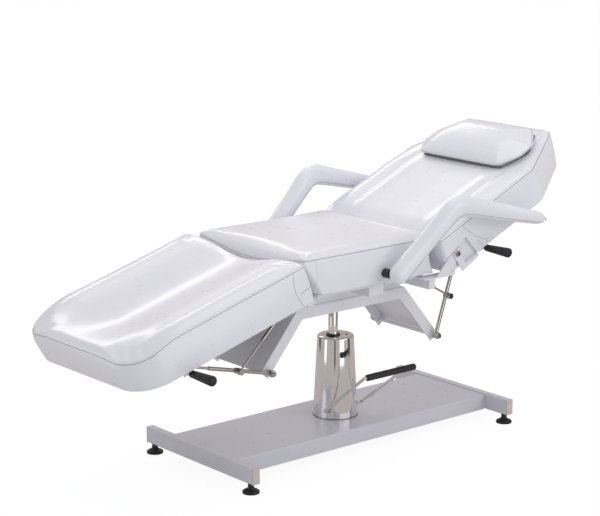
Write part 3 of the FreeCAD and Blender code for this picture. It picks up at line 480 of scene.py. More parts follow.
class Outline:
    """A convex plan with rounded corners, listed anticlockwise."""

    def __init__(self, corners: Sequence[Corner]) -> None:
        """Keep the corners."""
        self.corners = list(corners)

    def marks(self, picks: Sequence[int]) -> list[int]:
        """Ring indices of the middles of the given corners' arcs."""
        starts, count = [], 0
        for corner in self.corners:
            starts.append(count)
            count += corner.arc + corner.run
        return [starts[i] + self.corners[i].arc // 2 for i in picks]

    def depth(self, u: float, y: float) -> float:
        """How far a point lies inside the nearest straight side."""
        size = len(self.corners)
        least = math.inf
        for i, corner in enumerate(self.corners):
            after = self.corners[(i + 1) % size]
            du, dy = after.u - corner.u, after.y - corner.y
            reach = math.hypot(du, dy)
            least = min(least, ((y - corner.y) * du - (u - corner.u) * dy) / reach)
        return max(0.0, least)

    def ring(self, inset: float) -> list[Point2]:
        """The outline moved inwards.

        Args:
            inset: How far in; negative is outwards.

        Returns:
            Points, always the same number and in the same order.
        """
        size = len(self.corners)
        spots = [Vector((c.u, c.y)) for c in self.corners]
        ways = [(spots[(i + 1) % size] - spots[i]).normalized() for i in range(size)]
        sides = [Vector((-w.y, w.x)) for w in ways]
        moved = []
        for i in range(size):
            before, after = sides[i - 1], sides[i]
            bisector = (before + after) / (1.0 + before.dot(after))
            moved.append(spots[i] + bisector * inset)
        points: list[Point2] = []
        for i, corner in enumerate(self.corners):
            turn = ways[i - 1].angle(ways[i])
            radius = max(corner.radius - inset, 0.001)
            back = radius * math.tan(turn / 2)
            start = moved[i] - ways[i - 1] * back
            centre = start + sides[i - 1] * radius
            for k in range(corner.arc + 1):
                a = turn * k / corner.arc
                arm = -sides[i - 1] * math.cos(a) + ways[i - 1] * math.sin(a)
                spot = centre + arm * radius
                points.append((spot.x, spot.y))
            following = (i + 1) % size
            next_turn = ways[i].angle(ways[following])
            next_radius = max(self.corners[following].radius - inset, 0.001)
            end = moved[following] - ways[i] * next_radius * math.tan(next_turn / 2)
            first = Vector(points[-1])
            for k in range(1, corner.run):
                spot = first.lerp(end, k / corner.run)
                points.append((spot.x, spot.y))
        return points


def patch(ring: Sequence[Point2], marks: Sequence[int]) -> tuple[list[Point2], int, int, list]:
    """Fill a ring with a grid by blending its four sides.

    Args:
        ring: The closed boundary.
        marks: Indices of its four corners, in order.

    Returns:
        The inner points, the two side counts, and the grid of references, where a
        negative reference -1-i is ring point i and others index the inner points.
    """
    total = len(ring)
    sides = []
    for k in range(4):
        start, end = marks[k], marks[(k + 1) % 4]
        span = (end - start) % total
        sides.append([(start + i) % total for i in range(span + 1)])
    across, along = len(sides[0]) - 1, len(sides[1]) - 1
    bottom, right = sides[0], sides[1]
    top, left = sides[2][::-1], sides[3][::-1]
    inner: list[Point2] = []
    grid: list[list[int]] = [[0] * (along + 1) for _ in range(across + 1)]
    for i in range(across + 1):
        for j in range(along + 1):
            if j == 0:
                grid[i][j] = -1 - bottom[i]
            elif j == along:
                grid[i][j] = -1 - top[i]
            elif i == 0:
                grid[i][j] = -1 - left[j]
            elif i == across:
                grid[i][j] = -1 - right[j]
            else:
                s, t = i / across, j / along
                spot = [0.0, 0.0]
                for axis in (0, 1):
                    edge = ((1 - t) * ring[bottom[i]][axis] + t * ring[top[i]][axis]
                            + (1 - s) * ring[left[j]][axis] + s * ring[right[j]][axis])
                    corner = ((1 - s) * (1 - t) * ring[bottom[0]][axis]
                              + s * (1 - t) * ring[bottom[-1]][axis]
                              + (1 - s) * t * ring[top[0]][axis]
                              + s * t * ring[top[-1]][axis])
                    spot[axis] = edge - corner
                grid[i][j] = len(inner)
                inner.append((spot[0], spot[1]))
    return inner, across, along, grid


def smooth_mesh(name: str, points: Sequence[Vector], faces: Sequence[Sequence[int]],
                seam: Sequence[float] | None = None) -> bpy.types.Object:
    """Make a smooth-shaded mesh object.

    Args:
        name: The piece's name.
        points: Vertices in the row frame.
        faces: Faces by vertex index.
        seam: Optional value per vertex, 0 at a seam and 1 away from it.

    Returns:
        The linked object.
    """
    mesh = bpy.data.meshes.new(name)
    mesh.from_pydata([tuple(p) for p in points], [], [tuple(f) for f in faces])
    layer = mesh.attributes.new("seam", "FLOAT", "POINT")
    layer.data.foreach_set("value", list(seam) if seam else [1.0] * len(points))
    mesh.update()
    for polygon in mesh.polygons:
        polygon.use_smooth = True
    piece = bpy.data.objects.new(name, mesh)
    bpy.context.scene.collection.objects.link(piece)
    return piece


def subdivide(piece: bpy.types.Object, levels: int = 1) -> None:
    """Smooth a piece with a subdivision surface."""
    modifier = piece.modifiers.new("smooth", "SUBSURF")
    modifier.levels = levels
    modifier.render_levels = levels


def applied(piece: bpy.types.Object) -> None:
    """Replace a piece's mesh by its evaluated one and drop its modifiers."""
    graph = bpy.context.evaluated_depsgraph_get()
    fixed = bpy.data.meshes.new_from_object(piece.evaluated_get(graph), depsgraph=graph)
    piece.modifiers.clear()
    piece.data = fixed


def stacked(rows: int, size: int) -> list[Sequence[int]]:
    """Faces of a pile of equal rings, closed at both ends.

    Args:
        rows: How many rings.
        size: Points in a ring, anticlockwise as seen from the last ring.

    Returns:
        The faces, facing outwards.
    """
    faces: list[Sequence[int]] = [tuple(range(size))[::-1],
                                  tuple(range((rows - 1) * size, rows * size))]
    for row in range(0, (rows - 1) * size, size):
        for k in range(size):
            m = (k + 1) % size
            faces.append((row + k, row + m, row + size + m, row + size + k))
    return faces


def sweep(name: str, path: Sequence[Vector], section: Callable[[int, float], Point2],
          sides: int, closed: bool = False,
          seam: Sequence[float] | None = None) -> bpy.types.Object:
    """Draw a section along a path.

    Args:
        name: The piece's name.
        path: Points of the centre line.
        section: Gives (out, up) offsets for a path index and an angle.
        sides: Points round the section.
        closed: Whether the path is a loop.
        seam: Optional seam value per path point.

    Returns:
        The piece.
    """
    count = len(path)
    points: list[Vector] = []
    for i, spot in enumerate(path):
        if closed:
            ahead = path[(i + 1) % count] - path[i - 1]
        else:
            ahead = path[min(i + 1, count - 1)] - path[max(i - 1, 0)]
        ahead.normalize()
        out = ahead.cross(UP)
        if out.length < 1e-6:
            out = ahead.cross(Vector((0, 1, 0)))
        out.normalize()
        rise = out.cross(ahead).normalized()
        for k in range(sides):
            a, b = section(i, 2 * math.pi * k / sides)
            points.append(spot + out * a + rise * b)
    faces: list[Sequence[int]] = []
    for i in range(count if closed else count - 1):
        j = (i + 1) % count
        for k in range(sides):
            m = (k + 1) % sides
            faces.append((i * sides + k, j * sides + k, j * sides + m, i * sides + m))
    if not closed:
        faces.append(tuple(range(sides)))
        faces.append(tuple((count - 1) * sides + k for k in reversed(range(sides))))
    spread = [seam[i] for i in range(count) for _ in range(sides)] if seam else None
    return smooth_mesh(name, points, faces, spread)


def line_piece(name: str, path: Sequence[Vector], radius: float,
               closed: bool = False) -> bpy.types.Object:
    """A round cord along a path."""
    def section(_: int, angle: float) -> Point2:
        """A circle."""
        return radius * math.cos(angle), radius * math.sin(angle)

    return sweep(name, path, section, CORD_SIDES, closed)


def lathe(name: str, start: Vector, ahead: Vector, profile: Sequence[Point2],
          sides: int = 32) -> bpy.types.Object:
    """Turn a profile of (distance, radius) pairs round an axis."""
    way = ahead.normalized()
    side = way.orthogonal().normalized()
    rise = way.cross(side)
    turns = [2 * math.pi * k / sides for k in range(sides)]
    points = [start + way * distance + (side * math.cos(a) + rise * math.sin(a)) * radius
              for distance, radius in profile for a in turns]
    return smooth_mesh(name, points, stacked(len(profile), sides))


def carve(piece: bpy.types.Object, cutter: bpy.types.Object) -> None:
    """Take a closed cutter out of a piece for good, and drop the cutter."""
    solid = bmesh.new()
    solid.from_mesh(cutter.data)
    bmesh.ops.recalc_face_normals(solid, faces=solid.faces)
    solid.to_mesh(cutter.data)
    solid.free()
    cut = piece.modifiers.new("carve", "BOOLEAN")
    cut.operation = "DIFFERENCE"
    cut.solver = "EXACT"
    cut.object = cutter
    applied(piece)
    bpy.data.objects.remove(cutter)
    sharp_by_angle(piece, 50.0)


def sharp_by_angle(piece: bpy.types.Object, degrees: float = 35.0) -> None:
    """Keep hard edges hard on a smooth-shaded piece."""
    piece.data.set_sharp_from_angle(angle=math.radians(degrees))


def laid_on(piece: bpy.types.Object, guides: Sequence[tuple[Vector, Vector]],
            lift: float) -> list[Vector]:
    """Lay a line on a piece.

    Args:
        piece: The piece whose base mesh is used.
        guides: Pairs of a point outside the surface and the way to shoot.
        lift: How far above the surface the line lies.

    Returns:
        The points found.
    """
    graph = bpy.context.evaluated_depsgraph_get()
    tree = BVHTree.FromObject(piece, graph)
    found = []
    for start, way in guides:
        spot, normal, _, _ = tree.ray_cast(start, way.normalized())
        if spot is not None:
            found.append(spot + (normal if normal.dot(way) < 0 else -normal) * lift)
    return found


def stitch(wardrobe: Wardrobe, pad: bpy.types.Object, name: str, body: str,
           guides: Sequence[tuple[Vector, Vector]], radius: float,
           finish: Finish = Finish.THREAD, lift: float = 0.0) -> None:
    """Lay a thin line on a cushion.

    Args:
        wardrobe: Where the finish comes from.
        pad: The cushion.
        name: The line's name.
        body: The body that it rides on.
        guides: Pairs of a point beside the cushion and the way to shoot.
        radius: The line's radius.
        finish: Its finish.
        lift: How far above the surface it lies.
    """
    wardrobe.fit(line_piece(name, laid_on(pad, guides, lift), radius), finish, body)


COVER_CLOTH = {"quality": 4, "mass": 0.4, "tension_stiffness": 30.0,
               "compression_stiffness": 30.0, "shear_stiffness": 12.0,
               "bending_stiffness": 3.0, "use_pressure": True, "vertex_group_mass": "held"}


def inflate(piece: bpy.types.Object, pins: Sequence[int], pressure: float, frames: int,
            cap: float) -> None:
    """Swell a cushion with a short cloth simulation held at its seams.

    Args:
        piece: The cushion, in its base mesh.
        pins: Vertices that stay where they are.
        pressure: The inner pressure.
        frames: How many frames to run.
        cap: The furthest that a point may move.
    """
    group = piece.vertex_groups.new(name="held")
    group.add(list(pins), 1.0, "REPLACE")
    cloth = piece.modifiers.new("cloth", "CLOTH")
    settings = cloth.settings
    for key, value in COVER_CLOTH.items():
        setattr(settings, key, value)
    settings.uniform_pressure_force = pressure
    settings.effector_weights.gravity = 0.0
    scene = bpy.context.scene
    cloth.point_cache.frame_start = 1
    cloth.point_cache.frame_end = frames
    for frame in range(1, frames + 1):
        scene.frame_set(frame)
    before = [v.co.copy() for v in piece.data.vertices]
    graph = bpy.context.evaluated_depsgraph_get()
    after = [v.co.copy() for v in piece.evaluated_get(graph).data.vertices]
    piece.modifiers.remove(cloth)
    piece.vertex_groups.clear()
    scene.frame_set(1)
    for vertex, old, new in zip(piece.data.vertices, before, after):
        move = new - old
        if move.length > cap:
            move = move.normalized() * cap
        vertex.co = old + move
    piece.data.update()


@dataclass
class Slab:
    """A boxed cushion: shaped top, seamed walls and an underside open for its board."""

    name: str
    tilt: Tilt
    outline: Callable[[float], Outline]
    marks: Sequence[int]
    height: Callable[[float, float, float], float]
    low: float
    bulge: float = 0.003
    pocket: float = 0.0
    floor: float = 0.0
    insets: Sequence[float] = (0.0018, 0.005, 0.010, 0.017, 0.026, 0.038, 0.054)
    steps: int = 9
    welt: float = 0.0011
    foot_roll: float = 0.004
    foot_margin: float = 0.05
    seam_points: list[Vector] = field(default_factory=list)
    foot_points: list[Vector] = field(default_factory=list)
    piece: bpy.types.Object | None = None

    def build(self, pressure: float = 3.0, frames: int = 12, cap: float = 0.006) -> None:
        """Make the cushion's mesh.

        Args:
            pressure: Pressure of the swelling step.
            frames: Its length.
            cap: Its largest movement.
        """
        top = self.outline(0.0)
        edge = top.ring(0.0)
        size = len(edge)
        marks = top.marks(self.marks)
        points: list[Vector] = []
        seam: list[float] = []
        faces: list[Sequence[int]] = []
        pins: list[int] = []
        rings: list[list[int]] = []

        def add_ring(plan: Sequence[Point2], levels: Sequence[float], value: float) -> None:
            """Append one closed ring of vertices."""
            rings.append(list(range(len(points), len(points) + size)))
            for (u, y), n in zip(plan, levels):
                points.append(self.tilt.put(u, y, n))
                seam.append(value)

        for inset in reversed(self.insets):
            plan = top.ring(inset)
            add_ring(plan, [self.height(u, y, inset) for u, y in plan], min(1.0, inset / 0.05))
        seam_level = [self.height(u, y, 0.0) for u, y in edge]
        add_ring(top.ring(0.0012), [n - 0.0008 for n in seam_level], 0.0)
        pins += rings[-1]
        self.seam_points = [points[i].copy() for i in rings[-1]]
        base = self.low + self.foot_roll
        fractions = [0.03] + [k / self.steps for k in range(1, self.steps)] + [0.97]
        for s in fractions:
            plan = self.outline(s).ring(-self.bulge * math.sin(math.pi * s) ** 0.7)
            levels = [n + (base - n) * s for n in seam_level]
            add_ring(plan, levels, min(1.0, 4.0 * min(s, 1.0 - s)))
        last = self.outline(1.0)
        add_ring(last.ring(0.0), [base] * size, 0.0)
        pins += rings[-1]
        add_ring(last.ring(0.003), [self.low] * size, 0.3)
        pins += rings[-1]
        self.foot_points = [points[i].copy() for i in rings[-2]]
        if self.pocket > 0:
            for inset, n in ((self.pocket * 0.5, self.low), (self.pocket - 0.002, self.low),
                             (self.pocket, self.low + 0.002), (self.pocket, self.floor)):
                add_ring(last.ring(inset), [n] * size, 1.0)
                pins += rings[-1]
        else:
            add_ring(last.ring(self.foot_margin), [self.low] * size, 1.0)
            pins += rings[-1]
        for outer, inner in zip(rings, rings[1:]):
            for i in range(size):
                j = (i + 1) % size
                faces.append((outer[i], inner[i], inner[j], outer[j]))
        for ring_ids, plan, level, flip in (
                (rings[0], top.ring(self.insets[-1]), None, False),
                (rings[-1], last.ring(self.pocket or self.foot_margin),
                 self.floor if self.pocket > 0 else self.low, True)):
            inner, across, along, grid = patch(plan, marks)
            offset = len(points)
            for u, y in inner:
                n = level if level is not None else self.height(u, y, 0.2)
                points.append(self.tilt.put(u, y, n))
                seam.append(1.0)
                if flip:
                    pins.append(len(points) - 1)
            for i in range(across):
                for j in range(along):
                    quad = [grid[i][j], grid[i + 1][j], grid[i + 1][j + 1], grid[i][j + 1]]
                    ids = [ring_ids[-1 - q] if q < 0 else offset + q for q in quad]
                    faces.append(ids[::-1] if flip else ids)
        self.piece = smooth_mesh(self.name, points, faces, seam)
        inflate(self.piece, pins, pressure, frames, cap)
        subdivide(self.piece)

    def welt_piece(self, wardrobe: Wardrobe, name: str, body: str, foot: bool = False,
                   finish: Finish = Finish.WELT) -> None:
        """Lay the cord that covers the upper or the lower seam."""
        path = self.foot_points if foot else self.seam_points
        wardrobe.fit(line_piece(name, path, self.welt, closed=True), finish, body)


def rolled(inset: float, radius: float) -> float:
    """How far a rounded edge has dropped at a distance in from the outline."""
    if inset >= radius:
        return 0.0
    return radius - math.sqrt(max(radius * radius - (radius - inset) ** 2, 0.0))


def bell(value: float, centre: float, width: float) -> float:
    """A smooth bump of height 1."""
    return math.exp(-((value - centre) / width) ** 2)


def ease(value: float, low: float, high: float) -> float:
    """A smooth step from 0 at low to 1 at high."""
    t = min(1.0, max(0.0, (value - low) / (high - low)))
    return t * t * (3 - 2 * t)


# ======================================================================== studio
@dataclass
class Studio:
    """Plain white studio: floor, soft lamps, dark cards for the chrome, camera."""

    eye: Vector = Vector((-3.7305, -4.3814, 1.9007))
    look: Vector = Vector((0.6256, 0.7476, -0.2229))
    lens: float = 116.56
    card_reach: float = 1.35
    room_light: Colour = (0.97, 0.975, 1.0)
    room_power: float = 0.74
    room_mirror: Colour = (0.46, 0.41, 0.38)
    floor_half: float = 40.0
    floor_gap: float = 0.0006
    film_width: float = 36.0
    sight: float = 200.0

    def build(self) -> None:
        """Make everything that isn't the bed."""
        self._world()
        self._floor()
        self._lamps()
        self._cards()
        self._camera()

    def _world(self) -> None:
        """White to the eye, a warm grey room in reflections, softer as a lamp."""
        graph = Graph("studio_world", world=True)
        bpy.context.scene.world = graph.material
        rays = graph.node("ShaderNodeLightPath", {}, {})
        seen = Signal(graph, rays.outputs["Is Camera Ray"])
        seen = seen + Signal(graph, rays.outputs["Is Transmission Ray"])
        mirror = Signal(graph, rays.outputs["Is Glossy Ray"])
        lamp, room, plain = (
            graph.node("ShaderNodeBackground", {}, {"Color": (*tone, 1.0), "Strength": power})
            for tone, power in ((self.room_light, self.room_power), (self.room_mirror, 1.0),
                                (WHITE, 1.0)))
        unseen = graph.node("ShaderNodeMixShader", {}, {0: mirror, 1: lamp.outputs[0],
                                                        2: room.outputs[0]})
        mixed = graph.node("ShaderNodeMixShader", {}, {0: seen, 1: unseen.outputs[0],
                                                       2: plain.outputs[0]})
        graph.finish(mixed)

    def _floor(self) -> None:
        """A pale floor that reads white and keeps a faint shadow."""
        half = self.floor_half
        points = [Vector((x, y, -self.floor_gap)) for x, y in
                  ((-half, -half), (half, -half), (half, half), (-half, half))]
        floor = smooth_mesh("studio_floor", points, [(0, 1, 2, 3)])
        graph = Graph("studio_floor")
        rays = graph.node("ShaderNodeLightPath", {}, {})
        seen = Signal(graph, rays.outputs["Is Camera Ray"])
        mirror = Signal(graph, rays.outputs["Is Glossy Ray"])
        tone = graph.blend(mirror, WHITE, self.room_mirror)
        glow = graph.node("ShaderNodeEmission", {}, {"Color": tone, "Strength": 1.06})
        grain = graph.remap(graph.noise(3.0), 0.3, 0.7, 0.0, 1.0)
        tint = graph.blend(grain, (0.80, 0.80, 0.81), (0.79, 0.79, 0.80))
        matt = graph.node("ShaderNodeBsdfDiffuse", {}, {"Color": tint})
        lit = graph.node("ShaderNodeMixShader", {}, {0: (seen + mirror) * 0.88,
                                                     1: matt.outputs[0], 2: glow.outputs[0]})
        floor.data.materials.append(graph.finish(lit))
        floor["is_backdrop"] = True

    def _lamp(self, name: str, spot: Vector, aim: Vector, size: Point2, power: float) -> None:
        """Add one soft lamp."""
        data = bpy.data.lights.new(name, "AREA")
        data.shape = "RECTANGLE"
        data.size, data.size_y = size
        data.energy = power
        lamp = bpy.data.objects.new(name, data)
        lamp.location = spot
        lamp.rotation_euler = (aim - spot).to_track_quat("-Z", "Y").to_euler()
        bpy.context.scene.collection.objects.link(lamp)

    def _lamps(self) -> None:
        """Overhead key, a long strip behind and a broad fill on the near side."""
        aim = Vector((0.073, 0.0, 0.6))
        self._lamp("key_lamp", Vector((0.573, 0.2, 3.4)), aim, (2.4, 2.0), 17.5)
        self._lamp("strip_lamp", Vector((1.473, 3.6, 2.9)), aim, (3.4, 0.6), 26.0)
        self._lamp("fill_lamp", Vector((1.5, -3.7, 1.8)), aim, (2.4, 2.0), 25.0)

    def _card(self, name: str, turn: float, size: tuple[float, float, float],
              tone: Colour, glow: float) -> None:
        """A card beside the column that only reflections see.

        Args:
            name: The card's name.
            turn: Its direction from the column, in degrees from +X.
            size: Its width at the top, its width at the foot and its height.
            tone: Its colour.
            glow: Its light as seen in a reflection, where 1 is white.
        """
        way = Vector((math.cos(math.radians(turn)), math.sin(math.radians(turn)), 0.0))
        side = Vector((-way.y, way.x, 0.0))
        foot = Vector((BASE_MIDDLE_X, 0.0, 0.004)) + way * self.card_reach
        top, low, height = size
        points = [foot - side * low / 2, foot + side * low / 2,
                  foot + side * top / 2 + Vector((0, 0, height)),
                  foot - side * top / 2 + Vector((0, 0, height))]
        card = smooth_mesh(name, points, [(0, 1, 2, 3)])
        graph = Graph(name)
        card.data.materials.append(graph.principled(
            {"Base Color": (*tone, 1.0), "Roughness": 0.9, "Emission Color": (*tone, 1.0),
             "Emission Strength": glow}))
        card.visible_camera = False
        card.visible_diffuse = False
        card.visible_shadow = False
        card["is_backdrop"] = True

    def _cards(self) -> None:
        """Low cards that draw the light and dark bands in the column's chrome."""
        pale, glow = (0.95, 0.95, 0.96), 0.9
        self._card("card_white_left", 168.0, (0.85, 0.30, 0.75), pale, glow)
        self._card("card_white_right", 268.0, (0.90, 0.62, 0.75), pale, glow)
        self._card("card_dark_middle", 226.0, (0.16, 0.16, 0.60), (0.06, 0.06, 0.065), 0.0)
        self._card("card_dark_right", 318.0, (0.36, 0.36, 0.70), (0.05, 0.05, 0.055), 0.0)
        self._card("card_dark_left", 118.0, (0.50, 0.50, 0.70), (0.16, 0.14, 0.13), 0.0)

    def _camera(self) -> None:
        """The camera, with no shift and no blur."""
        data = bpy.data.cameras.new("studio_camera")
        data.lens = self.lens
        data.sensor_width = self.film_width
        data.clip_end = self.sight
        camera = bpy.data.objects.new("studio_camera", data)
        camera.location = self.eye
        camera.rotation_euler = self.look.to_track_quat("-Z", "Y").to_euler()
        bpy.context.scene.collection.objects.link(camera)
        bpy.context.scene.camera = camera
        bpy.context.scene.view_settings.view_transform = "Standard"


# =================================================================== upholstery
def symmetric(rows: Sequence[tuple[float, float, float, int, int]]) -> Outline:
    """An outline from its near half.

    Args:
        rows: (u, y, radius, arc, run) of the near corners from low u to high u.

    Returns:
        The outline, the far half mirrored.
    """
    near = [Corner(u, -y, radius, arc, run) for u, y, radius, arc, run in rows]
    far = [Corner(u, y, radius, arc, 0) for u, y, radius, arc, _ in reversed(rows)]
    runs = [corner.run for corner in near][:-1][::-1]
    joined = []
    for i, corner in enumerate(far[:-1]):
        joined.append(Corner(corner.u, corner.y, corner.radius, corner.arc, runs[i]))
    last = far[-1]
    close = near[-1].run + near[-1].arc - near[0].arc
    joined.append(Corner(last.u, last.y, last.radius, last.arc, close))
    return Outline(near + joined)


@dataclass
class LegRest:
    """Leg-rest cushion with raised sides, its seams and its hinge flap."""

    wardrobe: Wardrobe
    tilt: Tilt = LEG_TILT
    half: float = 0.279
    length: float = 0.648
    length_low: float = 0.632
    level: float = 0.0656
    thick: float = 0.115
    corner: float = 0.100
    dish: float = 0.026
    wall: float = 0.022
    pocket_depth: float = 0.045

    def outline(self, s: float) -> Outline:
        """The plan at a depth from 0 at the top seam to 1 at the foot."""
        back = self.length - (self.length - self.length_low) * max(0.0, (s - 0.2) / 0.8)
        hinge = -0.014 + 0.007 * min(1.0, s / 0.7)
        return symmetric([(-back, self.half, self.corner, 16, 44),
                          (hinge, self.half, 0.010, 6, 36)])

    def height(self, u: float, y: float, inset: float) -> float:
        """The dished top with a roll along each side."""
        lift = 0.010 - rolled(inset, 0.010)
        side = ease(self.half - abs(y), 0.0, 0.05)
        end = ease(u + self.length, 0.0, 0.18)
        fall = 0.013 * ease(-u, 0.46, 0.645)
        fall += 0.010 * ease(-u, 0.48, 0.62) * ease(abs(y), 0.12, 0.25)
        hollow = -self.dish * 0.5 * (1 + math.cos(math.pi * min(1.0, abs(y) / 0.215)))
        crest = 0.004 * bell(abs(y), 0.236, 0.026)
        return self.level - fall + lift + (hollow + crest) * side * end

    def build(self) -> None:
        """Make and dress the cushion."""
        low = self.level - self.thick
        slab = Slab("leg_rest_pad", self.tilt, self.outline, (0, 1, 2, 3), self.height, low,
                    pocket=self.wall, floor=low + self.pocket_depth - BOARD_CLEARANCE)
        slab.build(pressure=2.0, cap=0.005)
        pad = slab.piece
        self.wardrobe.upholster(pad, "leg_rest", "leg_cushion", 0.9)
        slab.welt_piece(self.wardrobe, "leg_rest_welt", "leg_rest")
        slab.welt_piece(self.wardrobe, "leg_rest_hem", "leg_rest", True, Finish.WHITE_VINYL)
        self._flap(pad)
        log.info("leg rest: %d faces", len(pad.data.polygons))

    def _flap(self, pad: bpy.types.Object) -> None:
        """The seam and the tuck at the hinge end of each side."""
        for side, sy in SIDES:
            start = sy * (self.half + 0.05)
            way = Vector((0.0, -sy, 0.0))
            seam, tuck = [], []
            for k in range(25):
                t = k / 24
                u = -0.060 - 0.012 * math.sin(math.pi * t * 0.9) + 0.016 * t * t
                n = self.level - 0.004 - t * (self.thick - 0.010)
                seam.append((self.tilt.put(u, start, n), way))
            for k in range(15):
                t = k / 14
                u = -0.050 + 0.042 * t
                n = self.level - 0.068 + 0.004 * t
                tuck.append((self.tilt.put(u, start, n), way))
            for name, guides, radius in (("seam", seam, 0.0007), ("tuck", tuck, 0.0012)):
                stitch(self.wardrobe, pad, f"leg_rest_{name}_{side}", "leg_rest", guides, radius)


@dataclass
class Seat:
    """Seat cushion with a rolled front lip and a hollow rear."""

    wardrobe: Wardrobe
    front: float = -0.333
    front_low: float = -0.266
    half: float = 0.250
    level: float = 0.655
    low: float = 0.543
    back_x: float = 0.249
    back_z: float = 0.601
    relief: float = 0.0868

    def outline(self, s: float) -> Outline:
        """The plan at a depth from 0 at the top seam to 1 at the foot."""
        z = self.level + (self.low - self.level) * s
        front = self.front + max(0.0, s - 0.12) / 0.88 * (self.front_low - self.front)
        rear = self.back_x - math.sqrt(self.relief ** 2 - (z - self.back_z) ** 2)
        return symmetric([(front, self.half, 0.012, 6, 36), (rear, self.half, 0.010, 6, 36)])

    def height(self, u: float, y: float, inset: float) -> float:
        """Nearly flat, with a lip that rolls over deepest at the middle of the front."""
        lip = 0.026 * math.cos(math.pi * min(1.0, abs(y) / self.half) / 2) ** 1.5
        near_front = 1.0 - ease(u - self.front, 0.03, 0.09)
        radius = 0.010 + lip * near_front
        crown = 0.004 * (1 - (y / self.half) ** 2) * ease(inset, 0.0, 0.06)
        return self.level + 0.010 - rolled(inset, radius) + crown

    def build(self) -> None:
        """Make and dress the cushion."""
        slab = Slab("seat_pad", SEAT_TILT, self.outline, (0, 1, 2, 3), self.height, self.low)
        slab.build(pressure=2.5, cap=0.005)
        pad = slab.piece
        self.wardrobe.upholster(pad, "couch", "seat_cushion", 0.9)
        slab.welt_piece(self.wardrobe, "seat_welt", "couch")
        for side, sy in SIDES:
            start = sy * (self.half + 0.05)
            guides = [(Vector((BASE_MIDDLE_X - 0.288 + 0.004 * math.sin(3 * k / 20), start,
                               self.level - 0.004 - 0.104 * k / 20)), Vector((0, -sy, 0)))
                      for k in range(21)]
            stitch(self.wardrobe, pad, f"seat_fold_{side}", "couch", guides, 0.0018,
                   Finish.WHITE_VINYL, -0.0003)
        log.info("seat: %d faces", len(pad.data.polygons))


@dataclass
class Backrest:
    """Backrest cushion with padded sides, head recess and hinge flap."""

    wardrobe: Wardrobe
    tilt: Tilt = BACK_TILT
    start: float = -0.045
    shoulder: float = 0.385
    head: float = 0.600
    half: float = 0.279
    head_half: float = 0.171
    level: float = 0.068
    thick: float = 0.115
    wall: float = 0.022
    pocket_depth: float = 0.045
    recess: float = 0.024

    def outline(self, s: float) -> Outline:
        """The plan at a depth from 0 at the top seam to 1 at the foot."""
        return symmetric([(self.start, self.half, 0.010, 6, 30),
                          (self.shoulder, self.half, 0.070, 6, 18),
                          (self.head - 0.012 * s, self.head_half, 0.034, 8, 26)])

    def height(self, u: float, y: float, inset: float) -> float:
        """Flat middle, a sewn channel and a raised roll along each side."""
        calm = 1.0 - ease(u, 0.26, 0.40)
        lift = 0.001 + 0.003 * ease(u, 0.26, 0.40) + 0.009 * calm * ease(u - self.start, 0.0, 0.08)
        roll = lift - rolled(inset, lift)
        side = ease(inset, 0.0, 0.04)
        ridge = 0.006 * bell(abs(y), 0.232, 0.026) - 0.005 * bell(abs(y), 0.196, 0.012)
        inner = 0.003 * bell(abs(y), 0.168, 0.018) - 0.004 * bell(y, 0.0, 0.12)
        return self.level + roll + (ridge + inner) * side * calm

    def build(self) -> None:
        """Make and dress the cushion."""
        low = self.level - self.thick
        slab = Slab("backrest_pad", self.tilt, self.outline, (0, 2, 3, 5), self.height, low,
                    pocket=self.wall, floor=low + self.pocket_depth - BOARD_CLEARANCE)
        slab.build(pressure=2.0, cap=0.004)
        pad = slab.piece
        self._cut_recess(pad)
        self._cut_ears(pad)
        self.wardrobe.upholster(pad, "backrest", "back_cushion", 0.9)
        slab.welt_piece(self.wardrobe, "backrest_welt", "backrest")
        slab.welt_piece(self.wardrobe, "backrest_hem", "backrest", True, Finish.WHITE_VINYL)
        self._flap(pad)
        log.info("backrest: %d faces", len(pad.data.polygons))

    def _cut_recess(self, pad: bpy.types.Object) -> None:
        """Sink the seat of the pillow into the upper end."""
        plan = Outline([Corner(0.345, -0.176, 0.02, 4, 4), Corner(0.455, -0.208, 0.05, 5, 4),
                        Corner(0.560, -0.142, 0.03, 4, 4), Corner(0.560, 0.142, 0.03, 4, 4),
                        Corner(0.455, 0.208, 0.05, 5, 4), Corner(0.345, 0.176, 0.02, 4, 4)])
        ring = plan.ring(0.0)
        levels = (self.level - self.recess, self.level + 0.05)
        points = [self.tilt.put(u, y, n) for n in levels for u, y in ring]
        carve(pad, smooth_mesh("recess_cutter", points, stacked(len(levels), len(ring))))

    def _cut_ears(self, pad: bpy.types.Object) -> None:
        """Clear the room in which the hinge ears and brackets turn."""
        for _, sy in SIDES:
            y0, y1 = sorted((sy * 0.2705, sy * 0.32))
            plan = ((-0.062, 0.004), (0.050, 0.030), (0.082, -0.060), (-0.062, -0.080))
            points = [self.tilt.put(u, y, n) for y in (y0, y1) for u, n in plan]
            faces = [(0, 1, 2, 3), (7, 6, 5, 4), (0, 4, 5, 1), (1, 5, 6, 2), (2, 6, 7, 3),
                     (3, 7, 4, 0)]
            carve(pad, smooth_mesh("ear_cutter", points, faces))

    def _flap(self, pad: bpy.types.Object) -> None:
        """The curved seam and the tuck at the hinge end of each side."""
        for side, sy in SIDES:
            start = sy * (self.half + 0.05)
            way = Vector((0.0, -sy, 0.0))
            seam = []
            for k in range(25):
                t = k / 24
                u = 0.055 + 0.075 * t ** 1.3
                seam.append((self.tilt.put(u, start, self.level - 0.004 - t * 0.098), way))
            tuck = [(self.tilt.put(0.088 + 0.002 * k, start, -0.004 - 0.0035 * k), way)
                    for k in range(10)]
            for name, guides in (("seam", seam), ("tuck", tuck)):
                stitch(self.wardrobe, pad, f"backrest_{name}_{side}", "backrest", guides, 0.0008)


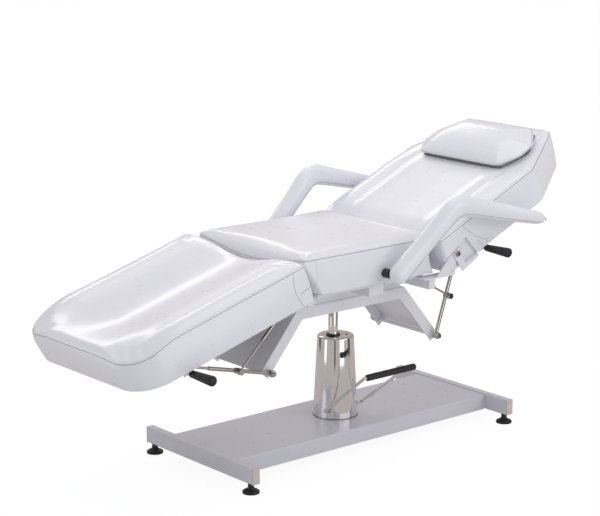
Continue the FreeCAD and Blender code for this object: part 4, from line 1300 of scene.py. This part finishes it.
@dataclass
class HeadPillow:
    """Domed pillow on a grey base that tapers into the recess."""

    wardrobe: Wardrobe
    tilt: Tilt = BACK_TILT
    base_low: float = 0.044
    base_top: float = 0.089
    crown: float = 0.133
    dome_reach: float = 0.095

    def outline(self, s: float) -> Outline:
        """The plan of the pad."""
        grow = 0.002 * math.sin(math.pi * s)
        return symmetric([(0.340, 0.174 + grow, 0.030, 6, 10),
                          (0.405, 0.212 + grow, 0.045, 6, 8),
                          (0.470, 0.210 + grow, 0.050, 6, 10),
                          (0.556, 0.140 + grow, 0.058, 8, 20)])

    def height(self, u: float, y: float, inset: float) -> float:
        """A dome, thin at the neck and the sides and thick at the head end."""
        rim = self.base_top + 0.006 + 0.004 * ease(u, 0.47, 0.54)
        depth = min(1.0, self.outline(0.0).depth(u, y) / self.dome_reach)
        swell = math.sin(math.pi / 2 * depth) ** 0.85
        ridge = 1.0 - 0.25 * (y / 0.2) ** 2
        return rim + (self.crown - rim) * swell * ridge

    def build(self) -> None:
        """Make the pad, its border and its base."""
        slab = Slab("pillow_pad", self.tilt, self.outline, (0, 3, 4, 7), self.height,
                    self.base_top + 0.0005, bulge=0.002, steps=4, welt=0.0012,
                    insets=(0.0018, 0.005, 0.010, 0.017, 0.026, 0.038))
        slab.build(pressure=3.0, frames=10, cap=0.004)
        pad = slab.piece
        self.wardrobe.upholster(pad, "pillow", "pillow", 0.8)
        slab.welt_piece(self.wardrobe, "pillow_welt", "pillow")
        slab.welt_piece(self.wardrobe, "pillow_hem", "pillow", True)
        self._base()
        log.info("pillow: %d faces", len(pad.data.polygons))

    def _base(self) -> None:
        """The grey base, smaller where it meets the backrest."""
        rings = ((self.base_low + 0.0003, 0.014), (self.base_low + 0.016, 0.014),
                 (self.base_low + 0.026, 0.012), (self.base_top - 0.008, 0.004),
                 (self.base_top, 0.001))
        plan = Outline([Corner(0.352, -0.170, 0.022, 6, 10), Corner(0.455, -0.201, 0.05, 6, 10),
                        Corner(0.553, -0.138, 0.03, 6, 20), Corner(0.553, 0.138, 0.03, 6, 10),
                        Corner(0.455, 0.201, 0.05, 6, 10), Corner(0.352, 0.170, 0.022, 6, 20)])
        points = [self.tilt.put(u, y, n) for n, inset in rings for u, y in plan.ring(inset)]
        base = smooth_mesh("pillow_foot", points,
                           stacked(len(rings), len(points) // len(rings)))
        sharp_by_angle(base, 40.0)
        self.wardrobe.upholster(base, "pillow", "pillow_base", 1.0, Finish.GREY_VINYL,
                                "base_vinyl")


@dataclass
class Armrest:
    """One padded armrest: a bent roll with a seam, tucks at the bend and a button."""

    wardrobe: Wardrobe
    side: str
    sign: float
    pivot: Point2 = (BASE_MIDDLE_X - 0.022, 0.577)
    bend: Point2 = (BASE_MIDDLE_X + 0.188, 0.768)
    tip: Point2 = (BASE_MIDDLE_X + 0.548, 0.680)
    low_y: float = 0.310
    high_y: float = 0.338
    bend_radius: float = 0.075
    wide: float = 0.0265
    tall: float = 0.0285
    low_run: int = 30
    bend_run: int = 12
    tip_run: int = 40

    def path(self) -> list[Vector]:
        """The centre line from the low end to the tip."""
        low = Vector((self.pivot[0], self.sign * self.low_y, self.pivot[1]))
        bend = Vector((self.bend[0], self.sign * self.high_y, self.bend[1]))
        tip = Vector((self.tip[0], self.sign * self.high_y, self.tip[1]))
        up, out = (bend - low).normalized(), (tip - bend).normalized()
        turn = up.angle(out)
        back = self.bend_radius * math.tan(turn / 2)
        first, last = bend - up * back, bend + out * back
        inward = (out - up).normalized()
        centre = bend + inward * self.bend_radius / math.cos(turn / 2)
        start = low - up * self.tall * 0.96
        end = tip + out * self.tall * 0.96
        points = [start.lerp(first, k / self.low_run) for k in range(self.low_run)]
        inner, outer = (first - centre).normalized(), (last - centre).normalized()
        for k in range(self.bend_run + 1):
            arm = inner.slerp(outer, k / self.bend_run)
            points.append(centre + arm.normalized() * self.bend_radius)
        points += [last.lerp(end, k / self.tip_run) for k in range(1, self.tip_run + 1)]
        return points

    def swell(self, path: Sequence[Vector]) -> list[float]:
        """How full the roll is at each point of its path."""
        total, reach = 0.0, [0.0]
        for a, b in zip(path, path[1:]):
            total += (b - a).length
            reach.append(total)
        full = []
        for at in reach:
            nose = min(1.0, at / 0.030)
            tail = min(1.0, (total - at) / 0.055)
            full.append(max(0.12, math.sin(math.pi / 2 * nose) ** 0.7)
                        * max(0.16, math.sin(math.pi / 2 * tail) ** 0.8))
        return full

    def build(self) -> None:
        """Make and dress the armrest."""
        path = self.path()
        full = self.swell(path)
        middle = self.low_run + self.bend_run // 2
        last = len(path) - 1
        thick = [1.0 + 0.22 * math.exp(-((i - middle) / 9.0) ** 2)
                 - 0.30 * ease(i / last, 0.62, 1.0) for i in range(len(path))]

        def section(index: int, angle: float) -> Point2:
            """A softly squared oval, tucked on the inner side of the bend."""
            c, s = math.cos(angle), math.sin(angle)
            a = math.copysign(abs(c) ** 0.86, c) * self.wide
            b = math.copysign(abs(s) ** 0.86, s) * self.tall
            inner = max(0.0, -s)
            near = math.exp(-((index - middle) / 5.0) ** 2)
            tuck = 1.0 - 0.10 * inner * near * (0.5 + 0.5 * math.cos((index - middle) * 2.1))
            return a * full[index] * tuck, b * full[index] * tuck * thick[index]

        seam = [1.0 - 0.9 * math.exp(-((i - middle) / 4.0) ** 2) for i in range(len(path))]
        roll = sweep(f"armrest_roll_{self.side}", path, section, 28, seam=seam)
        subdivide(roll)
        body = f"armrest_{self.side}"
        self.wardrobe.upholster(roll, body, body, 0.95)
        for name, angle in (("outer", -0.62), ("inner", math.pi + 0.62)):
            line = []
            for i in range(3, len(path) - 3):
                ahead = (path[i + 1] - path[i - 1]).normalized()
                out = ahead.cross(UP).normalized()
                rise = out.cross(ahead)
                a, b = section(i, angle)
                line.append(path[i] + out * a + rise * b)
            cord = line_piece(f"armrest_seam_{name}_{self.side}", line, 0.0010)
            self.wardrobe.fit(cord, Finish.THREAD, body)
        ahead = (path[-1] - path[-2]).normalized()
        button = lathe(f"armrest_button_{self.side}", path[-1] - ahead * 0.002, ahead,
                       ((0.0, 0.0045), (0.002, 0.0045), (0.0034, 0.0034), (0.004, 0.0012)), 16)
        self.wardrobe.fit(button, Finish.THREAD, body)
        log.info("armrest %s: %d faces", self.side, len(roll.data.polygons))


# ============================================================== metal and rubber
def hex_head(name: str, spot: Vector, ahead: Vector, across: float, tall: float,
             washer: float) -> bpy.types.Object:
    """Make a chamfered hexagon bolt head on its washer.

    Args:
        name: The piece's name.
        spot: Where the washer lies.
        ahead: The way the head faces.
        across: Across the flats.
        tall: Height of the head above the washer.
        washer: Radius of the washer.

    Returns:
        The piece.
    """
    way = ahead.normalized()
    side = way.orthogonal().normalized()
    rise = way.cross(side)
    sides = 24
    flat = across / 2

    def six(angle: float, trim: float) -> float:
        """Radius of the hexagon at an angle, rounded at its corners."""
        fold = (angle + math.pi / 6) % (math.pi / 3) - math.pi / 6
        return min(flat / math.cos(fold), flat * 1.11 * trim)

    levels = ((0.0, None, washer), (0.0012, None, washer), (0.0016, None, washer - 0.0005),
              (0.0017, 1.0, 0.0), (0.0017 + tall * 0.8, 1.0, 0.0), (0.0017 + tall, 0.93, 0.0),
              (0.0017 + tall, 0.6, 0.0))
    points = []
    for height, trim, radius in levels:
        for k in range(sides):
            angle = 2 * math.pi * k / sides
            size = radius if trim is None else six(angle, trim) * min(1.0, trim + 0.03)
            points.append(spot + way * height
                          + (side * math.cos(angle) + rise * math.sin(angle)) * size)
    piece = smooth_mesh(name, points, stacked(len(levels), sides))
    sharp_by_angle(piece, 28.0)
    return piece


@dataclass
class Fittings:
    """Helpers shared by the parts that carry screws and grips."""

    wardrobe: Wardrobe

    def bolt(self, name: str, body: str, spot: Vector, ahead: Vector, across: float,
             tall: float, washer: float) -> None:
        """Add one zinc bolt head."""
        head = hex_head(name, spot, ahead, across, tall, washer)
        self.wardrobe.fit(head, Finish.ZINC, body)

    def redress(self, names: Sequence[str], finish: Finish) -> None:
        """Change the finish of several nodes of the frame."""
        for name in names:
            self.wardrobe.redress(bpy.data.objects[name], finish)


@dataclass
class BaseFrame(Fittings):
    """Two end bars with plugs and levelling feet, and the deck between them."""

    def build(self) -> None:
        """Finish the bars, the deck, the plugs and the feet."""
        # The bars and the deck take the darker copy of the white coat, painted shade.
        self.redress(("base_bar_foot", "base_bar_head", "base_deck"), Finish.BASE_COAT_PAINTED_SHADE)
        corners = [f"{end}_{side}" for end in ("foot", "head") for side in ("near", "far")]
        self.redress([f"base_cap_{corner}" for corner in corners], Finish.CAP_PLASTIC)
        self.redress([f"base_foot_{corner}" for corner in corners], Finish.BLACK_RUBBER)
        log.info("base: %d nodes", 3 + 2 * len(corners))


@dataclass
class Column(Fittings):
    """Polished pump cover, its dark base line and screw, and the bright ram."""

    axis: float = BASE_MIDDLE_X + 0.006
    base_radius: float = 0.0695
    deck_top: float = 0.076
    cover_top: float = 0.332

    def build(self) -> None:
        """Finish the column."""
        self.redress(("pump_cover", "lift_ram"), Finish.CHROME)
        self.redress(("pump_cylinder", "pedal_lug_left", "pedal_lug_right"), Finish.ZINC)
        self.redress(("pump_seal",), Finish.SEAL_RUBBER)
        path = [Vector((self.axis + self.base_radius * math.cos(a),
                        self.base_radius * math.sin(a), self.deck_top + 0.0008))
                for a in (2 * math.pi * k / 96 for k in range(96))]
        line = line_piece("cover_gasket", path, 0.0012, closed=True)
        self.wardrobe.fit(line, Finish.SEAL_RUBBER, "base")
        hole = lathe("cover_screw", Vector((self.axis + 0.026, -0.022, self.cover_top - 0.0012)),
                     Vector((0, 0, 1)), ((0.0, 0.004), (0.0016, 0.004), (0.0022, 0.0034),
                                         (0.0022, 0.0022), (0.0012, 0.0020)), 20)
        sharp_by_angle(hole, 30.0)
        self.wardrobe.fit(hole, Finish.SEAL_RUBBER, "base")
        log.info("column: 6 nodes, a gasket and a screw")


@dataclass
class Pedal(Fittings):
    """Chromed pedal rod with a ribbed rubber sleeve on its foot bar."""

    bar_y: float = -0.216
    bar_z: float = 0.251
    start_x: float = BASE_MIDDLE_X - 0.058
    end_x: float = BASE_MIDDLE_X + 0.140

    def build(self) -> None:
        """Make the sleeve."""
        self.redress(("pedal_rod",), Finish.CHROME)
        length = self.end_x - self.start_x
        profile: list[Point2] = [(0.0, 0.0066), (0.0006, 0.0086), (0.003, 0.0098), (0.006, 0.0100)]
        ribs = 16
        for k in range(ribs):
            for t, lift in ((0.15, 0.0000), (0.4, 0.0006), (0.7, 0.0006), (0.95, 0.0)):
                profile.append((0.008 + (length - 0.020) * (k + t) / ribs, 0.0098 + lift))
        profile += [(length - 0.010, 0.0103), (length - 0.004, 0.0101), (length - 0.0015, 0.0088),
                    (length, 0.0060), (length + 0.0002, 0.0015)]
        sleeve = lathe("pedal_grip", Vector((self.start_x, self.bar_y, self.bar_z)),
                       Vector((1, 0, 0)), profile, 32)
        self.wardrobe.fit(sleeve, Finish.BLACK_RUBBER, "pedal")
        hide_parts("pedal_sleeve")
        log.info("pedal: sleeve with %d ribs", ribs)


@dataclass
class Subframe(Fittings):
    """Folded channel with wings, its socket, wing pins and bolt heads."""

    middle: float = BASE_MIDDLE_X - 0.033
    pin_reach: float = 0.333
    pin_z: float = 0.307
    pin_out: float = 0.1525

    def build(self) -> None:
        """Finish the subframe."""
        # The subframe takes the lighter copy of the white coat, painted light.
        self.redress(("subframe_channel", "ram_socket", "wing_pin_back"), Finish.FRAME_COAT_PAINTED_LIGHT)
        self.redress(("wing_pin_leg",), Finish.ZINC)
        for name, sx in (("leg", -1.0), ("back", 1.0)):
            for side, sy in SIDES:
                spot = Vector((self.middle + sx * self.pin_reach, sy * self.pin_out, self.pin_z))
                self.bolt(f"wing_bolt_{name}_{side}", "couch", spot, Vector((0, sy, 0)), 0.013,
                          0.005, 0.0098)
        log.info("subframe: 4 nodes and 4 bolts")


@dataclass
class SeatMetal(Fittings):
    """Seat frame, board, rear ears with their pivots, and armrest spacers."""

    pivot: Point2 = (BACK_TILT.x, BACK_TILT.z)
    pivot_out: float = 0.284

    def build(self) -> None:
        """Finish the seat group's metal."""
        # The seat metal takes the lighter copy of the white coat, painted light.
        self.redress(("seat_frame", "seat_ear_near", "seat_ear_far", "seat_board"),
                     Finish.FRAME_COAT_PAINTED_LIGHT)
        self.redress(("arm_stud_near", "arm_stud_far"), Finish.SEAL_RUBBER)
        for side, sy in SIDES:
            spot = Vector((self.pivot[0], sy * self.pivot_out, self.pivot[1]))
            self.bolt(f"hinge_bolt_{side}", "couch", spot, Vector((0, sy, 0)), 0.012, 0.0045,
                      0.0092)
        log.info("seat metal: 6 nodes and 2 bolts")


@dataclass
class PanelMetal(Fittings):
    """Frames and boards under the folding panels, brackets, stays and struts."""

    def build(self) -> None:
        """Finish the metal under the panels."""
        # The panel frames and brackets take the lighter copy of the white coat, painted light.
        self.redress(("leg_frame", "back_frame", "back_bracket_near", "back_bracket_far"),
                     Finish.FRAME_COAT_PAINTED_LIGHT)
        self.redress(("leg_board", "back_board"), Finish.BACKING)
        ends = [f"{panel}_stay_{part}_{side}" for panel in ("leg", "back")
                for part in ("tube", "rod") for side in ("near", "far")]
        self.redress(ends, Finish.ZINC)
        struts = [f"{panel}_{part}" for panel in ("leg", "back")
                  for part in ("strut_tube", "strut_rod", "tee_collar", "release_bar")]
        self.redress(struts, Finish.ZINC)
        log.info("panel metal: %d nodes", 6 + len(ends) + len(struts))


@dataclass
class ReleaseLever(Fittings):
    """Tapered ribbed grip of one release lever."""

    name: str = "leg"
    tilt: Tilt = Tilt()
    along: float = -0.459
    drop: float = 0.062
    root_y: float = -0.264
    length: float = 0.100

    def build(self) -> None:
        """Make the grip."""
        start = self.tilt.put(self.along, self.root_y, -self.drop)
        profile: list[Point2] = [(0.0, 0.0076), (0.0008, 0.0100), (0.004, 0.0108), (0.008, 0.0104)]
        ribs = 9
        for k in range(ribs):
            base = 0.010 + 0.080 * k / ribs
            radius = 0.0104 + 0.0040 * k / ribs
            profile += [(base + 0.0015, radius), (base + 0.003, radius + 0.0006),
                        (base + 0.006, radius + 0.0006), (base + 0.0075, radius)]
        profile += [(0.092, 0.0148), (0.096, 0.0146), (0.0985, 0.0128), (0.0998, 0.0092),
                    (self.length, 0.003)]
        grip = lathe(f"{self.name}_grip", start, Vector((0, -1, 0)), profile, 32)
        self.wardrobe.fit(grip, Finish.BLACK_RUBBER, f"{self.name}_release")
        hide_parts(f"{self.name}_release_grip")
        log.info("%s lever: %d ribs", self.name, ribs)


# ========================================================================= main
def plain_bounds() -> Any:
    """The model's bounds as plain lists."""
    return json.loads(json.dumps(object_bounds(), default=list))


def main() -> None:
    """Dress the frame, add the soft pieces and set the studio."""
    logging.basicConfig(level=logging.INFO, format="%(name)s: %(message)s")
    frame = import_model()
    before = plain_bounds()
    wardrobe = Wardrobe()
    BaseFrame(wardrobe).build()
    Column(wardrobe).build()
    Pedal(wardrobe).build()
    Subframe(wardrobe).build()
    SeatMetal(wardrobe).build()
    PanelMetal(wardrobe).build()
    ReleaseLever(wardrobe, "leg", LEG_TILT, -0.459).build()
    ReleaseLever(wardrobe, "back", BACK_TILT, 0.127).build()
    Seat(wardrobe).build()
    LegRest(wardrobe).build()
    Backrest(wardrobe).build()
    HeadPillow(wardrobe).build()
    for side, sign in SIDES:
        Armrest(wardrobe, side, sign).build()
    Studio().build()
    {"before": before, "after": plain_bounds()}


if __name__ == "__main__":
    main()
